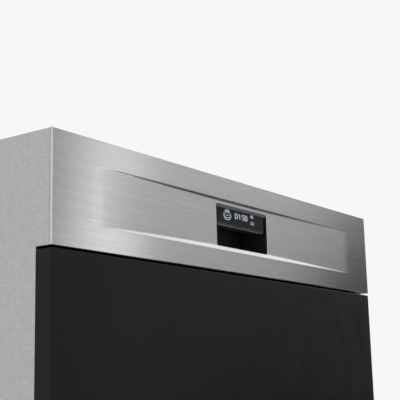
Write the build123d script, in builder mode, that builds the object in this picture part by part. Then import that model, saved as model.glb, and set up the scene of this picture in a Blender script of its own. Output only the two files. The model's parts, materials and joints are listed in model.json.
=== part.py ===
from build123d import *
import math
import os

# A built-in dishwasher, semi-integrated: a steel fascia above a furniture panel.
# Millimetres. X runs along the front, Y into the machine and Z up, with the floor at Z = 0.

os.makedirs("parts", exist_ok=True)

# Overall size
width = 598.0
depth = 570.0
height = 820.0
half_width = width / 2
front_y = -depth / 2
back_y = depth / 2

# Clearances
touch_gap = 0.3
slide_gap = 0.5
pin_clearance = 0.06
button_gap = 0.35
bore_relief = 1.0

# Sheets and walls
case_sheet = 0.8
tub_sheet = 1.0
fascia_sheet = 1.4
plastic_wall = 3.0

# Door stack, front to back
panel_thickness = 19.0
door_body_depth = 55.0
door_to_tub = 6.0
panel_back_y = front_y + panel_thickness
liner_y = panel_back_y + door_body_depth
tub_front_y = liner_y + door_to_tub

# Door hinge
hinge_height = 150.0
hinge_setback = 45.0
hinge_y = liner_y - hinge_setback
track_z = hinge_height + hinge_setback
pin_radius = 4.0
ear_radius = 8.0
hinge_plate = 3.0
frame_lift = 12.0
arm_length = 130.0
arm_foot = (60.0, 120.0)
pin_length = 6.0
bracket_reach = 90.0
bracket_bar = 14.0
spring_radius = 6.0
spring_length = 150.0

# Fascia, its pressed band and its window
fascia_height = 102.0
top_clearance = 3.0
fascia_top = height - top_clearance
fascia_bottom = fascia_top - fascia_height
band_half_length = 240.0
band_depth = 3.0
band_low = fascia_bottom + 23.0
band_high = fascia_bottom + 77.6
window_width = 101.0
window_low = fascia_bottom + 27.2
window_high = fascia_bottom + 72.5
window_radius = 2.5

# Furniture panel
panel_gap = 2.5
panel_side_gap = 0.5
panel_bottom = 105.0
panel_top = fascia_bottom - panel_gap
panel_edge = 1.0
frame_skirt = 7.0
frame_below_fascia = 2.0

# Control housing, finger pull, glass and buttons
housing_inset = 0.4
frame_inset = 0.6
housing_rim = 1.6
band_room = 3.0
band_end_room = 4.0
housing_depth = 45.0
deck_drop = 19.5
pocket_half_width = 52.0
pocket_low = fascia_bottom + 24.0
pocket_high = fascia_bottom + 77.0
pocket_depth = 42.0
glass_thickness = 2.0
glass_low = fascia_bottom + 51.0
glass_side_gap = 0.2
glass_corner = 1.5
module_depth = 16.0
module_inset = 2.0
module_corner = 2.5
button_y = front_y + 29.0
button_width = 34.0
button_length = 10.0
button_corner = 2.6
button_edge = 0.5
button_proud = 0.7
button_travel = 1.2
collar_width = 2.0
plunger_radius = 2.5
switch_half = 3.0
switch_height = 4.0
button_places = {"power": -215.0, "program": -150.0, "options": -95.0, "start": 150.0}
board_drop = 13.0
board_thickness = 1.6
board_half = 236.0
board_rear_gap = 6.0
board_post_places = (-40.0, 0.0, 40.0)
relay_places = (75.0, 105.0, 205.0)
relay_half = 8.0
relay_height = 14.0

# Tub
tub_half_width = 277.0
tub_top = 780.0
tub_back_y = 262.0
tub_floor_z = 172.0
trough_half_width = 240.0
tub_corner = 16.0
flange_low = 161.0
flange_high = 800.0
liner_half_width = 295.0
liner_top = 796.0
lip_half_width = 276.0
dish_half_width = 232.0
dish_low = 240.0
dish_high = 740.0
dish_depth = 12.0
dish_corner = 25.0
liner_fold = 9.0
lip_angle = 55.0
gasket_outside = 13.0
gasket_inside = 4.0

# Base pan and case
base_half_width = 284.0
base_front_y = tub_front_y + 4.0
base_back_y = 250.0
base_bottom = 25.0
shelf_width = 24.0
panel_foot_z = 50.0
plinth_low = 20.0
plinth_high = 140.0
plinth_sheet = 2.0
plinth_corner = 6.0
rib_places = (-80.0, 60.0, 200.0)
rear_rib_places = (-150.0, 0.0, 150.0)
top_rib_places = (-90.0, 50.0, 190.0)
rib_half = 12.0
rib_height = 3.0
rib_end_room = 60.0
side_rib_lift = 160.0

# Levelling feet
foot_x = 250.0
foot_front_y = -150.0
foot_rear_y = 215.0
foot_pad_radius = 20.0
foot_pad_height = 12.0
foot_edge = 1.5
foot_screw_radius = 6.0
foot_screw_top = 112.0
boss_radius = 12.0
boss_top = 118.0

# Sump, filter and spray arms
arm_y = 22.0
sump_y = -30.0
sump_radius = 100.0
sump_depth = 62.0
column_radius = 14.0
filter_radius = 38.0
filter_y = -85.0
arm_radius = 215.0
arm_width = 46.0
arm_thickness = 11.0
lower_arm_z = 199.0
upper_arm_z = 469.0
hub_radius = 24.0
hub_drop = 8.0
hub_disc_radius = 34.5
lower_hub_roof = 2.0
upper_hub_floor = 3.0
column_below_arm = 4.0
stub_radius = 10.0
stub_in_arm = 6.0
nozzle_radius = 1.6
nozzle_depth = 5.0
nozzle_start = 45.0
nozzle_pitch = 28.0
nozzle_offset = 6.0
nozzle_count = 6
sump_wall = 4.0
sump_rim = 6.0
sump_lip = 2.0
filter_sheet = 1.2
filter_wall = 2.0
filter_rim = 6.0
filter_grip_half = 3.0
filter_grip_rise = 10.0

# Water softener
softener_x = -175.0
softener_y = -110.0
neck_radius = 24.0
neck_height = 8.0
neck_wall = 4.0
neck_depth = 60.0
salt_cap_radius = 32.0
salt_cap_disc = 5.0
salt_cap_grip = 10.0
salt_grip_half = (27.0, 4.0)
salt_grip_foot = 4.0
salt_plug_gap = 0.1
salt_plug_length = 14.0

# Racks
rack_front_y = liner_y + 34.0
rack_rear_y = 236.0
wire = 4.0
lower_rack_half = 252.0
lower_rack_z = 222.0
lower_wall = 105.0
upper_rack_half = 256.0
upper_rack_z = 500.0
upper_wall = 100.0
tray_half = 252.0
tray_z = 716.0
tray_wall = 24.0
tray_wire = 2.5
mesh_pitch = 34.0
tine_height = 80.0
tine_pitch = 31.0
fixed_tine_x = (-205.0, -140.0, -75.0, 195.0)
folding_tine_x = 110.0
tine_bearing = 6.0
tine_start = 40.0
bearing_in = 30.0
duct_past_rack = 4.0
folding_tine_radius = 1.9
upper_comb_x = (-120.0, 0.0, 120.0)

# Wheels
wheel_radius = 20.0
wheel_width = 10.0
wheel_x = 258.0
wheel_places = {"front": -120.0, "mid_front": -22.0, "mid_rear": 84.0, "rear": 188.0}
wheel_z = track_z + wheel_radius + touch_gap
axle_radius = 4.0
carrier_half = 13.0
carrier_z = (-10.0, 26.0)
wheel_edge = 1.2

# Rails of the upper rack and of the cutlery tray
rail_z = 560.0
rail_half_height = 14.5
rail_depth = 13.0
rail_lip = 1.5
rail_bar = 4.2
rail_front_y = rack_front_y - 12.0
rail_rear_y = 210.0
clip_places = (-120.0, 150.0)
tray_rail_half = 7.5
tray_glide = 5.4
tray_divider_x = (-90.0, 90.0)
tray_divider = 2.4
tray_divider_drop = 4.0
glide_front_in = 8.0
glide_rear_in = 26.0
clip_half = 25.0

# Dispenser in the door
dispenser_x = (-25.0, 150.0)
dispenser_z = (395.0, 565.0)
cup_x = (68.0, 142.0)
cup_z = (478.0, 552.0)
dish_y = liner_y - dish_depth
dish_face_y = dish_y + tub_sheet
dispenser_face_y = dish_face_y + 7.0
dispenser_flange = 6.0
dispenser_depth = 24.0
dispenser_corner = 8.0
cup_depth = 30.0
lid_thickness = 2.4
lid_overlap = 2.4
lid_rail = 1.6
lid_rail_width = 3.7
lid_rail_past = (4.0, 3.0)
lid_lip = 1.5
lid_lip_room = 0.6
lid_grip_side = 12.0
lid_grip_below = (12.0, 8.0)
lid_grip_depth = 2.0
lid_travel = cup_z[0] - dispenser_z[0] - 8.0
cap_radius = 22.0
cap_plug_radius = 18.0
cap_disc = 2.5
cap_plug_length = 12.0
cap_x = 20.0
cap_z = 515.0

# Door latch
latch_z = 806.0
latch_half_width = 30.0
latch_length = 25.0
latch_below = 6.0
latch_above = 7.0
latch_wall = 3.0
latch_roof = 1.5
latch_pivot_in = 8.0
latch_pivot_up = 2.4
latch_pin_radius = 1.5
lever_inset = 2.0
lever_eye = 0.7
lever_short = 3.0
lever_lean = 1.0
lever_heel = 0.2
lever_nose = 2.4
lever_root = 3.6
strike_half_width = 11.0
strike_thickness = 2.0
strike_reach = 20.0
strike_root = 14.0
strike_flange = 9.0

# Services at the rear
inlet_thread_radius = 13.22
inlet_collar = 16.0
drain_radius = 10.0
drain_collar = 13.0
gland_bore = 5.0
gland_radius = 12.0
gland_reach = 20.0
gland_flange = 3.0
collar_reach = 3.0
service_short = 1.0
inlet_x = -195.0
drain_x = -135.0
gland_x = 225.0
service_z = 90.0
valve_body = (44.0, 40.0, 56.0)
port_depth = 36.0
port_wall = 2.0
flange_width = 6.0
flange_thickness = 4.0

# Worktop brackets
bracket_x = 200.0
bracket_size = 40.0
bracket_sheet = 1.5
bracket_hole = 2.25
bracket_overhang = 12.0
bracket_corner = 3.0

# Works in the base pan
pump_x = 165.0
pump_y = -60.0
pump_z = 84.0
pump_radius = 42.0
pump_length = 130.0
motor_radius = 34.0
motor_length = 30.0
pump_foot_half = 30.0
pump_foot_in = 20.0
suction_y = (-26.0, -4.0)
suction_z = (8.0, 30.0)
drain_pump_x = -110.0
drain_pump_y = 110.0
drain_pump_z = 62.0
drain_pump_radius = 24.0
drain_pump_length = 70.0
drain_front_extra = 6.0
drain_front_length = 20.0
drain_foot_half = 16.0
drain_foot_y = (5.0, 60.0)
tank_half = 58.0
tank_y = (-60.0, 90.0)
tank_drop = 22.0
tank_corner = 12.0

# Feed pipe, top shower and air break
pipe_half = 22.0
pipe_depth = 15.0
pipe_rise = 14.0
mouth_half = 16.0
duct_half = 14.0
duct_hub_radius = 20.0
shower_radius = 32.0
shower_height = 12.0
air_break_depth = 14.0
air_break_half = 40.0
air_break_z = (300.0, 560.0)
air_break_corner = 15.0


def block(x_span, y_span, z_span, mode=Mode.ADD):
    """Adds or cuts a box given by its faces along X, Y and Z."""
    spans = (x_span, y_span, z_span)
    middle = tuple((low + high) / 2 for low, high in spans)
    with Locations(middle):
        Box(*(high - low for low, high in spans), mode=mode)


def rod(start, direction, radius, length, mode=Mode.ADD):
    """Adds or cuts a round rod that starts at a point and runs along a direction."""
    with BuildSketch(Plane(origin=start, z_dir=direction)) as section:
        Circle(radius)
    extrude(section.sketch, amount=length, mode=mode)


def facing_front(y):
    """A plane whose X is the machine's X, whose Y is up, and which faces the front."""
    return Plane.XZ.offset(-y)


def grille(plane, size_x, size_y, pitch_x, pitch_y, bar, thickness):
    """Adds a flat net of bars: a frame with a regular grid of openings."""
    cells_x = max(1, round((size_x - bar) / pitch_x))
    cells_y = max(1, round((size_y - bar) / pitch_y))
    step_x = (size_x - bar) / cells_x
    step_y = (size_y - bar) / cells_y
    with BuildSketch(plane) as net:
        Rectangle(size_x, size_y)
        with GridLocations(step_x, step_y, cells_x, cells_y):
            Rectangle(step_x - bar, step_y - bar, mode=Mode.SUBTRACT)
    extrude(net.sketch, amount=thickness, clean=False)


def tine_comb(x, y_start, count, z, height_above):
    """Adds a row of upright tines on a base bar, as one flat comb along Y."""
    length = (count - 1) * tine_pitch + wire
    with BuildSketch(Plane.YZ.offset(x - wire / 2)) as comb:
        with Locations((y_start + length / 2, z + wire / 2)):
            Rectangle(length, wire)
        for number in range(count):
            with Locations((y_start + wire / 2 + number * tine_pitch, z + height_above / 2)):
                Rectangle(wire, height_above)
    extrude(comb.sketch, amount=wire, clean=False)


def basket(half_x, floor_z, wall, bar):
    """Adds the floor and the four walls of a rack as flat nets, a touch apart where they are welded."""
    run_y = rack_rear_y - rack_front_y
    mid_y = (rack_rear_y + rack_front_y) / 2
    wall_z = floor_z + bar + touch_gap + wall / 2
    grille(Plane((0, mid_y, floor_z)), 2 * half_x, run_y, mesh_pitch, mesh_pitch, bar, bar)
    for y in (rack_front_y + bar, rack_rear_y):
        end_plane = Plane((0, y, wall_z), x_dir=(1, 0, 0), z_dir=(0, -1, 0))
        grille(end_plane, 2 * half_x, wall, mesh_pitch, wall / 3, bar, bar)
    for x in (-half_x, half_x - bar):
        side_plane = Plane((x, mid_y, wall_z), x_dir=(0, 1, 0), z_dir=(1, 0, 0))
        grille(side_plane, run_y - 2 * (bar + touch_gap), wall, mesh_pitch, wall / 3, bar, bar)


def save(name, part):
    """Names a finished piece and writes it."""
    part.label = name
    export_step(part, f"parts/{name}.step")


# Fascia: a steel sheet with a long shallow band pressed in between two straight creases
band_radius = (band_half_length**2 + band_depth**2) / (2 * band_depth)


def pressed_band(offset):
    """The band's hollow as a solid, grown by an offset square to its surface."""
    deep = band_depth + offset
    reach = math.sqrt((band_radius + offset) ** 2 - (band_radius - band_depth) ** 2)
    spread = offset * math.sqrt(2)
    with BuildPart() as hollow:
        with BuildSketch(Plane.XY.offset(band_low - 2 * deep)) as arc_section:
            with BuildLine():
                ThreePointArc((-reach, front_y), (0, front_y + deep), (reach, front_y))
                Line((reach, front_y), (-reach, front_y))
            make_face()
        extrude(amount=band_high - band_low + 4 * deep)
        with BuildSketch(Plane.YZ.offset(-reach)) as trapezoid:
            with BuildLine():
                Polyline(
                    (front_y, band_low - spread),
                    (front_y + deep, band_low - spread + deep),
                    (front_y + deep, band_high + spread - deep),
                    (front_y, band_high + spread),
                    close=True,
                )
            make_face()
        extrude(amount=2 * reach, mode=Mode.INTERSECT)
    return hollow.part


band_back = pressed_band(fascia_sheet)
band_front = pressed_band(0)
window_middle = (window_low + window_high) / 2
skin_back_y = front_y + band_depth + fascia_sheet

with BuildPart() as fascia_skin:
    block((-half_width, half_width), (front_y, front_y + fascia_sheet), (fascia_bottom, fascia_top))
    add(band_back)
    add(band_front, mode=Mode.SUBTRACT)
    with BuildSketch(facing_front(skin_back_y + bore_relief)):
        with Locations((0, window_middle)):
            RectangleRounded(window_width, window_high - window_low, window_radius)
    extrude(amount=band_depth + fascia_sheet + 2 * bore_relief, mode=Mode.SUBTRACT)
save("fascia_skin", fascia_skin.part)

# Control housing: a hollow plastic body with the finger pull in its middle and a deck on top
housing_half = half_width - housing_inset
frame_half = half_width - frame_inset
wing_front_y = front_y + fascia_sheet + housing_rim
inner_half = frame_half - case_sheet
housing_front_y = front_y + fascia_sheet
housing_back_y = front_y + housing_depth
deck_z = fascia_top - deck_drop
deck_back_y = liner_y - slide_gap
pocket_back_y = front_y + pocket_depth
latch_front_y = deck_back_y - latch_length
latch_low = latch_z - latch_below
latch_high = latch_z + latch_above
hollow_front_y = skin_back_y + touch_gap + plastic_wall

with BuildPart() as control_housing:
    block((-housing_half, housing_half), (housing_front_y, wing_front_y), (fascia_bottom, fascia_top))
    block((-inner_half, inner_half), (wing_front_y, housing_back_y), (fascia_bottom, fascia_top))
    block((-inner_half, inner_half), (housing_back_y, deck_back_y), (deck_z, fascia_top))
    block(
        (-band_half_length - band_end_room, band_half_length + band_end_room),
        (housing_front_y, skin_back_y + touch_gap),
        (band_low - band_room, band_high + band_room),
        mode=Mode.SUBTRACT,
    )
    for side in (-1, 1):
        x_span = sorted((side * (pocket_half_width + plastic_wall), side * (inner_half - plastic_wall)))
        block(
            x_span,
            (hollow_front_y, housing_back_y),
            (fascia_bottom + plastic_wall, fascia_top - plastic_wall),
            mode=Mode.SUBTRACT,
        )
    block(
        (-pocket_half_width, pocket_half_width),
        (housing_front_y, pocket_back_y),
        (pocket_low, pocket_high),
        mode=Mode.SUBTRACT,
    )
    block(
        (-inner_half + plastic_wall, inner_half - plastic_wall),
        (hollow_front_y, housing_back_y),
        (pocket_high + plastic_wall, fascia_top - plastic_wall),
        mode=Mode.SUBTRACT,
    )
    for x in button_places.values():
        with BuildSketch(Plane.XY.offset(fascia_top - plastic_wall - bore_relief)):
            with Locations((x, button_y)):
                RectangleRounded(
                    button_width + 2 * button_gap, button_length + 2 * button_gap, button_corner + button_gap
                )
        extrude(amount=plastic_wall + 2 * bore_relief, mode=Mode.SUBTRACT)
    block(
        (-latch_half_width, latch_half_width),
        (latch_front_y, deck_back_y),
        (latch_low, latch_high),
        mode=Mode.SUBTRACT,
    )
save("control_housing", control_housing.part)

# Display glass behind the window, with its display module on the back
glass_y = skin_back_y + touch_gap
module_front_y = glass_y + glass_thickness
with BuildPart() as display_window:
    with BuildSketch(facing_front(module_front_y)):
        with Locations((0, (glass_low + pocket_high) / 2)):
            RectangleRounded(2 * (pocket_half_width - glass_side_gap), pocket_high - glass_low, glass_corner)
    extrude(amount=glass_thickness)
save("display_window", display_window.part)

with BuildPart() as display_module:
    block(
        (-pocket_half_width + module_inset, pocket_half_width - module_inset),
        (module_front_y, module_front_y + module_depth),
        (glass_low + module_inset / 2, pocket_high),
    )
    fillet(display_module.edges().filter_by(Axis.X).group_by(Axis.Z)[0], module_corner)
save("display_module", display_module.part)

# Control board under the buttons, standing on the pocket's roof
board_z = fascia_top - board_drop
board_front_y = hollow_front_y + 1.0
board_post_y = (board_front_y + 6.0, board_front_y + 14.0)
switch_top = board_z + switch_height
with BuildPart() as control_board:
    board_y = (board_front_y, housing_back_y - board_rear_gap)
    block((-board_half, board_half), board_y, (board_z, board_z + board_thickness))
    for x in board_post_places:
        block((x - switch_half, x + switch_half), board_post_y, (pocket_high + plastic_wall, board_z))
    for x in button_places.values():
        switch_y = (button_y - switch_half, button_y + switch_half)
        block((x - switch_half, x + switch_half), switch_y, (board_z + board_thickness, switch_top))
    for x in relay_places:
        block((x - relay_half, x + relay_half), board_post_y, (board_z - relay_height, board_z))
save("control_board", control_board.part)

# Push buttons: a cap in the deck with a collar under it and a plunger down to its switch
cap_foot_z = fascia_top - plastic_wall - button_travel
plunger_foot = switch_top + button_travel + slide_gap
for name, x in button_places.items():
    with BuildPart() as button:
        with BuildSketch(Plane.XY.offset(cap_foot_z)):
            with Locations((x, button_y)):
                RectangleRounded(button_width, button_length, button_corner)
        extrude(amount=plastic_wall + button_travel + button_proud)
        fillet(button.edges().group_by(Axis.Z)[-1], button_edge)
        with BuildSketch(Plane.XY.offset(cap_foot_z)):
            with Locations((x, button_y)):
                Rectangle(button_width + 2 * collar_width, button_length + 2 * collar_width)
        extrude(amount=button_travel - slide_gap)
        rod((x, button_y, plunger_foot), (0, 0, 1), plunger_radius, cap_foot_z - plunger_foot + button_edge)
    save(f"button_{name}", button.part)

# Door frame: the folded outer sheet that carries the furniture panel
frame_low = hinge_height + frame_lift
frame_back_y = liner_y - tub_sheet - touch_gap
frame_side_top = fascia_top - slide_gap
arm_inside = base_half_width + hinge_plate + slide_gap
arm_x = (arm_inside, arm_inside + hinge_plate)
slot_y = (hinge_y - ear_radius - band_room, hinge_y + ear_radius + band_room)
with BuildPart() as door_frame:
    block(
        (-frame_half, frame_half),
        (panel_back_y, panel_back_y + case_sheet),
        (panel_bottom + frame_skirt, fascia_bottom - frame_below_fascia),
    )
    for side in (-1, 1):
        wall_x = sorted((side * inner_half, side * frame_half))
        block(wall_x, (panel_back_y, frame_back_y), (frame_low, frame_side_top))
        block(wall_x, (wing_front_y, panel_back_y), (fascia_bottom, frame_side_top))
    block((-inner_half, inner_half), (panel_back_y, frame_back_y), (frame_low, frame_low + case_sheet))
    for side in (-1, 1):
        slot_x = sorted((side * (arm_x[0] - bore_relief), side * (arm_x[1] + bore_relief)))
        slot_z = (frame_low - bore_relief, frame_low + case_sheet + bore_relief)
        block(slot_x, slot_y, slot_z, mode=Mode.SUBTRACT)
save("door_frame", door_frame.part)

# Furniture panel
with BuildPart() as furniture_panel:
    block(
        (-half_width + panel_side_gap, half_width - panel_side_gap),
        (front_y, panel_back_y),
        (panel_bottom, panel_top),
    )
    fillet(furniture_panel.edges().group_by(Axis.Y)[0], panel_edge)
save("furniture_panel", furniture_panel.part)

# Door liner: the steel inner face with a pressed dish and a lip rolled around the hinge axis
dispenser_cut_x = (dispenser_x[0] + dispenser_flange, dispenser_x[1] - dispenser_flange)
dispenser_cut_z = (dispenser_z[0] + dispenser_flange, dispenser_z[1] - dispenser_flange)
liner_front_y = liner_y - tub_sheet
lip_top = frame_low + tub_sheet
with BuildPart() as door_liner:
    block((-liner_half_width, liner_half_width), (liner_front_y, liner_y), (frame_low, liner_top))
    for side in (-1, 1):
        edge_x = sorted((side * (liner_half_width - tub_sheet), side * liner_half_width))
        block(edge_x, (liner_front_y - liner_fold, liner_front_y), (frame_low + tub_sheet, liner_top))
    with BuildSketch(facing_front(liner_y)):
        with Locations((0, (dish_low + dish_high) / 2)):
            RectangleRounded(2 * dish_half_width, dish_high - dish_low, dish_corner)
    extrude(amount=dish_depth)
    with BuildSketch(facing_front(liner_y)):
        with Locations((0, (dish_low + dish_high) / 2)):
            RectangleRounded(
                2 * (dish_half_width - tub_sheet),
                dish_high - dish_low - 2 * tub_sheet,
                dish_corner - tub_sheet,
            )
    extrude(amount=dish_depth - tub_sheet, mode=Mode.SUBTRACT)
    with BuildSketch(Plane.YZ.offset(-lip_half_width)):
        with BuildLine():
            outer = CenterArc((hinge_y, hinge_height), hinge_setback, 0, -lip_angle)
            inner = CenterArc((hinge_y, hinge_height), hinge_setback - tub_sheet, 0, -lip_angle)
            Line(outer @ 1, inner @ 1)
            Line(outer @ 0, (liner_y, lip_top))
            Line((liner_y, lip_top), (liner_front_y, lip_top))
            Line((liner_front_y, lip_top), inner @ 0)
        make_face()
    extrude(amount=2 * lip_half_width)
    block(dispenser_cut_x, (dish_y - bore_relief, liner_y + bore_relief), dispenser_cut_z, mode=Mode.SUBTRACT)
save("door_liner", door_liner.part)

# Hinge arms: plates inside the door with a foot bent out to the frame's side
with BuildPart() as hinge_arms:
    for side in (-1, 1):
        with BuildSketch(Plane.YZ.offset(min(side * arm_x[0], side * arm_x[1]))):
            with Locations((hinge_y, hinge_height)):
                Circle(ear_radius)
            with Locations((hinge_y, hinge_height + arm_length / 2)):
                Rectangle(2 * ear_radius, arm_length)
            with Locations((hinge_y, hinge_height)):
                Circle(pin_radius + pin_clearance, mode=Mode.SUBTRACT)
        extrude(amount=hinge_plate)
        foot_span = sorted((side * arm_x[1], side * inner_half))
        foot_z = tuple(hinge_height + along for along in arm_foot)
        block(foot_span, (hinge_y - ear_radius, hinge_y + ear_radius), foot_z)
save("hinge_arms", hinge_arms.part)

# Hinge brackets: bars on the base pan, each with the pin that carries a door arm
bracket_end_y = base_front_y + bracket_reach
with BuildPart() as hinge_brackets:
    for side in (-1, 1):
        plate_x = min(side * base_half_width, side * (base_half_width + hinge_plate))
        with BuildSketch(Plane.YZ.offset(plate_x)):
            with Locations((hinge_y, hinge_height)):
                Circle(ear_radius)
            with Locations(((hinge_y + bracket_end_y) / 2, hinge_height)):
                Rectangle(bracket_end_y - hinge_y, bracket_bar)
        extrude(amount=hinge_plate)
        pin_start = side * (base_half_width + hinge_plate / 2)
        rod((pin_start, hinge_y, hinge_height), (side, 0, 0), pin_radius, pin_length)
save("hinge_brackets", hinge_brackets.part)

# Door springs, lying beside the base pan behind their brackets
spring_x = base_half_width + spring_radius
with BuildPart() as door_springs:
    for side in (-1, 1):
        rod((side * spring_x, bracket_end_y, hinge_height), (0, 1, 0), spring_radius, spring_length)
save("door_springs", door_springs.part)

# Tub: a wrapper sheet round the sides and the top with a flange in front, and a rear sheet
flange_half = half_width - case_sheet
wrapper_foot = track_z + touch_gap


def wrapper_section(grow):
    """The wrapper's outline across X and Z, grown outwards, with its upper corners rounded."""
    with BuildSketch() as section:
        with Locations((0, (tub_top + grow + wrapper_foot) / 2)):
            Rectangle(2 * (tub_half_width + grow), tub_top + grow - wrapper_foot)
        fillet(section.vertices().group_by(Axis.Y)[-1], tub_corner + grow)
    return section.sketch


with BuildPart() as tub:
    with BuildSketch(facing_front(tub_back_y - touch_gap)):
        add(wrapper_section(tub_sheet))
        add(wrapper_section(0), mode=Mode.SUBTRACT)
    extrude(amount=tub_back_y - touch_gap - tub_front_y)
    with BuildSketch(facing_front(tub_front_y + tub_sheet)):
        with Locations((0, (wrapper_foot + flange_high) / 2)):
            Rectangle(2 * flange_half, flange_high - wrapper_foot)
        add(wrapper_section(0), mode=Mode.SUBTRACT)
    extrude(amount=tub_sheet)
    with BuildSketch(facing_front(tub_back_y + tub_sheet)):
        add(wrapper_section(tub_sheet))
    extrude(amount=tub_sheet)
save("tub", tub.part)

# Tub floor: a pressing with a wheel track along each side, a trough between them and a flange in front
track_half = tub_half_width + tub_sheet
floor_back_y = tub_back_y + tub_sheet
with BuildPart() as tub_floor:
    block((-track_half, track_half), (tub_front_y, floor_back_y), (track_z - tub_sheet, track_z))
    block((-flange_half, flange_half), (tub_front_y, tub_front_y + tub_sheet), (flange_low, track_z))
    for grow, mode in ((tub_sheet, Mode.ADD), (0, Mode.SUBTRACT)):
        trough_y = (tub_front_y - (0 if grow else bore_relief), tub_back_y + grow)
        trough_z = (tub_floor_z - grow, track_z + (0 if grow else bore_relief))
        block((-trough_half_width - grow, trough_half_width + grow), trough_y, trough_z, mode=mode)
    with BuildSketch(Plane.XY.offset(tub_floor_z - tub_sheet - bore_relief)):
        with Locations((0, sump_y)):
            Circle(sump_radius)
        with Locations((softener_x, softener_y)):
            Circle(neck_radius + touch_gap)
    extrude(amount=tub_sheet + 2 * bore_relief, mode=Mode.SUBTRACT)
save("tub_floor", tub_floor.part)

# Tub gasket: a rubber frame between the tub's flange and the door liner
gasket_y = (tub_front_y - door_to_tub + touch_gap, tub_front_y)
gasket_low = flange_low + tub_sheet
gasket_high = tub_top + gasket_outside - tub_sheet
gasket_corner = gasket_outside - tub_sheet
with BuildPart() as tub_gasket:
    with BuildSketch(facing_front(gasket_y[1])):
        with Locations((0, (gasket_low + gasket_high) / 2)):
            RectangleRounded(2 * (tub_half_width + gasket_outside), gasket_high - gasket_low, gasket_corner)
        with Locations((0, (tub_floor_z - tub_sheet + tub_top + gasket_inside) / 2)):
            RectangleRounded(
                2 * (tub_half_width + gasket_inside),
                tub_top + gasket_inside - tub_floor_z + tub_sheet,
                gasket_corner,
                mode=Mode.SUBTRACT,
            )
    extrude(amount=gasket_y[1] - gasket_y[0])
save("tub_gasket", tub_gasket.part)

# Door strike: the tongue on the tub's flange that the latch lever drops behind
strike_low = latch_z - strike_thickness
with BuildPart() as door_strike:
    block(
        (-strike_half_width, strike_half_width),
        (tub_front_y - strike_reach, tub_front_y + strike_root),
        (strike_low, latch_z),
    )
    block(
        (-strike_half_width - strike_flange, strike_half_width + strike_flange),
        (tub_front_y + tub_sheet, tub_front_y + tub_sheet + strike_thickness),
        (flange_high - strike_root, latch_z),
    )
save("door_strike", door_strike.part)

# Latch body in the deck, open at the back for the strike
pivot_y = latch_front_y + latch_pivot_in
pivot_z = latch_z + latch_pivot_up
with BuildPart() as latch_body:
    block((-latch_half_width, latch_half_width), (latch_front_y, deck_back_y), (latch_low, latch_high))
    block(
        (-latch_half_width + latch_wall, latch_half_width - latch_wall),
        (latch_front_y + latch_wall, deck_back_y + bore_relief),
        (latch_low + latch_roof, latch_high - latch_roof),
        mode=Mode.SUBTRACT,
    )
    rod((-latch_half_width, pivot_y, pivot_z), (1, 0, 0), latch_pin_radius, 2 * latch_half_width)
save("latch_body", latch_body.part)

# Latch lever: turns on the cross pin, with its nose above the strike
lever_low = latch_z + touch_gap
lever_half = strike_half_width - lever_inset
lever_tip_y = deck_back_y - lever_short
with BuildPart() as latch_lever:
    with BuildSketch(Plane.YZ.offset(-lever_half)):
        with Locations((pivot_y, pivot_z)):
            Circle(latch_pin_radius + lever_eye)
        with BuildLine():
            Polyline(
                (pivot_y, lever_low + lever_heel),
                (lever_tip_y, lever_low),
                (lever_tip_y - lever_lean, lever_low + lever_nose),
                (pivot_y, lever_low + lever_root),
                close=True,
            )
        make_face()
        with Locations((pivot_y, pivot_z)):
            Circle(latch_pin_radius + pin_clearance, mode=Mode.SUBTRACT)
    extrude(amount=2 * lever_half)
save("latch_lever", latch_lever.part)

# Dispenser in the door's dish, with a sliding detergent lid and a turning rinse-aid cap
plug_bore = cap_plug_radius + slide_gap
well_x = (dispenser_cut_x[0] + slide_gap, dispenser_cut_x[1] - slide_gap)
well_z = (dispenser_cut_z[0] + slide_gap, dispenser_cut_z[1] - slide_gap)
rail_gap = lid_overlap + slide_gap
lid_lip_y = (dispenser_face_y + lid_thickness + lid_lip_room, dispenser_face_y + lid_thickness + lid_rail)
lid_rail_z = (cup_z[0] - lid_travel - lid_rail_past[0], cup_z[1] + lid_rail_past[1])
with BuildPart() as dispenser_body:
    block(dispenser_x, (dish_face_y, dispenser_face_y), dispenser_z)
    fillet(dispenser_body.edges().filter_by(Axis.Y), dispenser_corner)
    block(well_x, (dish_y - dispenser_depth, dish_face_y), well_z)
    block(cup_x, (dispenser_face_y - cup_depth, dispenser_face_y + bore_relief), cup_z, mode=Mode.SUBTRACT)
    bore_y = dispenser_face_y + bore_relief
    rod((cap_x, bore_y, cap_z), (0, -1, 0), plug_bore, cap_plug_length + 2 * bore_relief, mode=Mode.SUBTRACT)
    for x, reach in ((cup_x[0] - rail_gap - lid_rail_width, lid_lip), (cup_x[1] + rail_gap, -lid_lip)):
        lip_x = (min(x, x + reach), max(x, x + reach) + lid_rail_width)
        block((x, x + lid_rail_width), (dispenser_face_y, lid_lip_y[1]), lid_rail_z)
        block(lip_x, lid_lip_y, lid_rail_z)
save("dispenser_body", dispenser_body.part)

lid_y = (dispenser_face_y + touch_gap, dispenser_face_y + lid_thickness)
lid_grip_z = tuple(cup_z[1] - below for below in lid_grip_below)
with BuildPart() as detergent_lid:
    lid_x = (cup_x[0] - lid_overlap, cup_x[1] + lid_overlap)
    block(lid_x, lid_y, (cup_z[0] - lid_overlap, cup_z[1] + lid_overlap))
    grip_x = (cup_x[0] + lid_grip_side, cup_x[1] - lid_grip_side)
    block(grip_x, (lid_y[1], lid_y[1] + lid_grip_depth), lid_grip_z)
save("detergent_lid", detergent_lid.part)

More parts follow.
